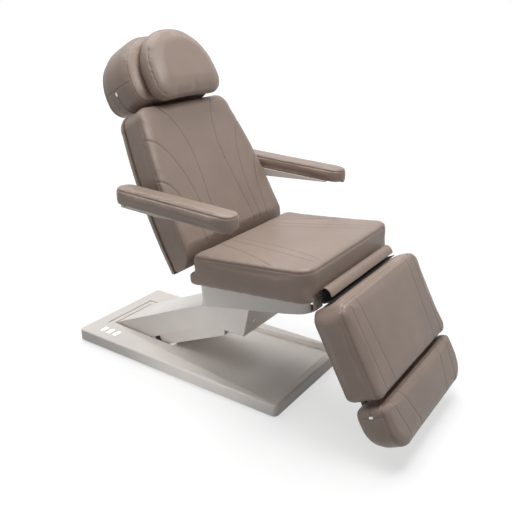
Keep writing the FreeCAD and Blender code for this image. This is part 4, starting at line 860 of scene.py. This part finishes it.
sew(foot, [foot_border, foot_band], depth=0.0018, width=0.0032, pucker=0.0009)
beside_foot = -0.4
foot_joint_x = 0.408
foot_zip_level = 0.062
joint_path = [Vector((foot_joint_x, beside_foot, z / 1000)) for z in range(0, 108, 2)]
foot_joint = pressed(foot_cover, leg_own, joint_path, [ACROSS] * len(joint_path))
zip_path = [Vector((x / 1000, beside_foot, foot_zip_level)) for x in range(404, 374, -2)]
foot_zip = pressed(foot_cover, leg_own, zip_path, [ACROSS] * len(zip_path))
sew(foot, [foot_joint, foot_zip], depth=0.0012, width=0.003, pucker=0.0003)
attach(foot, "foot")
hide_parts("foot_cushion")
foot_rows = [lowered(line, depth=0.0016) for line in foot_lines]
foot_rows.append(beside(foot_border, row_beside, row_depth))
stitches("foot_stitches", "foot", foot_rows, stitch_pitch, stitch_thick)
zipper("foot_zip", "foot", foot_zip, leg_own)

# Studio: a wide pale floor, a white surround, one wide soft light overhead,
# one lamp from the front and a low one. The camera stands where the photograph was taken.
floor_reach = 60
floor_mesh = bpy.data.meshes.new("floor")
floor_corners = [(-floor_reach, -floor_reach, 0), (floor_reach, -floor_reach, 0),
                 (floor_reach, floor_reach, 0), (-floor_reach, floor_reach, 0)]
floor_mesh.from_pydata(floor_corners, [], [(0, 1, 2, 3)])
floor = bpy.data.objects.new("floor", floor_mesh)
scene.collection.objects.link(floor)
floor_finish, floor_main = shader("floor", (0.4, 0.4, 0.4), roughness=0.7)


def seen(tree, plain, shown):
    """A strength with one value for what the camera, metal and glass see, and one for the light it gives."""
    kinds = tree.nodes.new("ShaderNodeLightPath")
    total = kinds.outputs["Is Camera Ray"]
    for kind in ("Is Glossy Ray", "Is Transmission Ray"):
        both = tree.nodes.new("ShaderNodeMath")
        both.use_clamp = True
        tree.links.new(total, both.inputs[0])
        tree.links.new(kinds.outputs[kind], both.inputs[1])
        total = both.outputs["Value"]
    level = tree.nodes.new("ShaderNodeMapRange")
    level.inputs["To Min"].default_value = plain
    level.inputs["To Max"].default_value = shown
    tree.links.new(total, level.inputs["Value"])
    return level.outputs["Result"]


floor_main.inputs["Emission Color"].default_value = (1, 1, 1, 1)
floor_level = seen(floor_finish.node_tree, plain=0, shown=0.63)
floor_finish.node_tree.links.new(floor_level, floor_main.inputs["Emission Strength"])
floor_mesh.materials.append(floor_finish)
world = bpy.data.worlds.new("studio")
scene.world = world
world.use_nodes = True
surround = world.node_tree.nodes["Background"]
surround.inputs["Color"].default_value = (1, 1, 1, 1)
surround_level = seen(world.node_tree, plain=0.09, shown=1)
world.node_tree.links.new(surround_level, surround.inputs["Strength"])


def lamp(name, spot, aim, wide, cone, watts):
    """A round soft lamp at a spot, aimed at another."""
    light = bpy.data.lights.new(name, "AREA")
    light.shape = "DISK"
    light.size = wide
    light.spread = math.radians(cone)
    light.energy = watts
    holder = bpy.data.objects.new(name, light)
    holder.location = spot
    holder.rotation_euler = (Vector(aim) - Vector(spot)).to_track_quat("-Z", "Y").to_euler()
    holder.visible_camera = False
    scene.collection.objects.link(holder)


lamp("front", spot=(0.75, -0.2, 2.3), aim=(-0.35, 0, 0.95), wide=0.8, cone=180, watts=14)
lamp("low", spot=(-0.2, -1.5, 0.4), aim=(-0.1, 0, 0.04), wide=0.5, cone=40, watts=0.38)
sun = bpy.data.lights.new("overhead", "SUN")
sun.energy = 2.4
sun.angle = math.radians(60)
overhead = bpy.data.objects.new("overhead", sun)
sun_heading = Vector((0.3, -0.12, -1))
overhead.rotation_euler = sun_heading.to_track_quat("-Z", "Y").to_euler()
scene.collection.objects.link(overhead)

target = Vector((0.0191, -0.0048, 0.5058))
azimuth = math.radians(34.79)
elevation = math.radians(21.53)
roll = math.radians(-0.14)
distance = 2.4952
away = Vector((math.sin(azimuth) * math.cos(elevation), -math.cos(azimuth) * math.cos(elevation),
               math.sin(elevation)))
camera = bpy.data.objects.new("camera", bpy.data.cameras.new("camera"))
camera.data.lens = 44.82
camera.data.sensor_width = 36
camera.location = target + away * distance
look = (-away).to_track_quat("-Z", "Y").to_matrix().to_4x4()
camera.rotation_euler = (look @ Matrix.Rotation(roll, 4, "Z")).to_euler()
scene.collection.objects.link(camera)
scene.camera = camera
scene.view_settings.view_transform = "Standard"
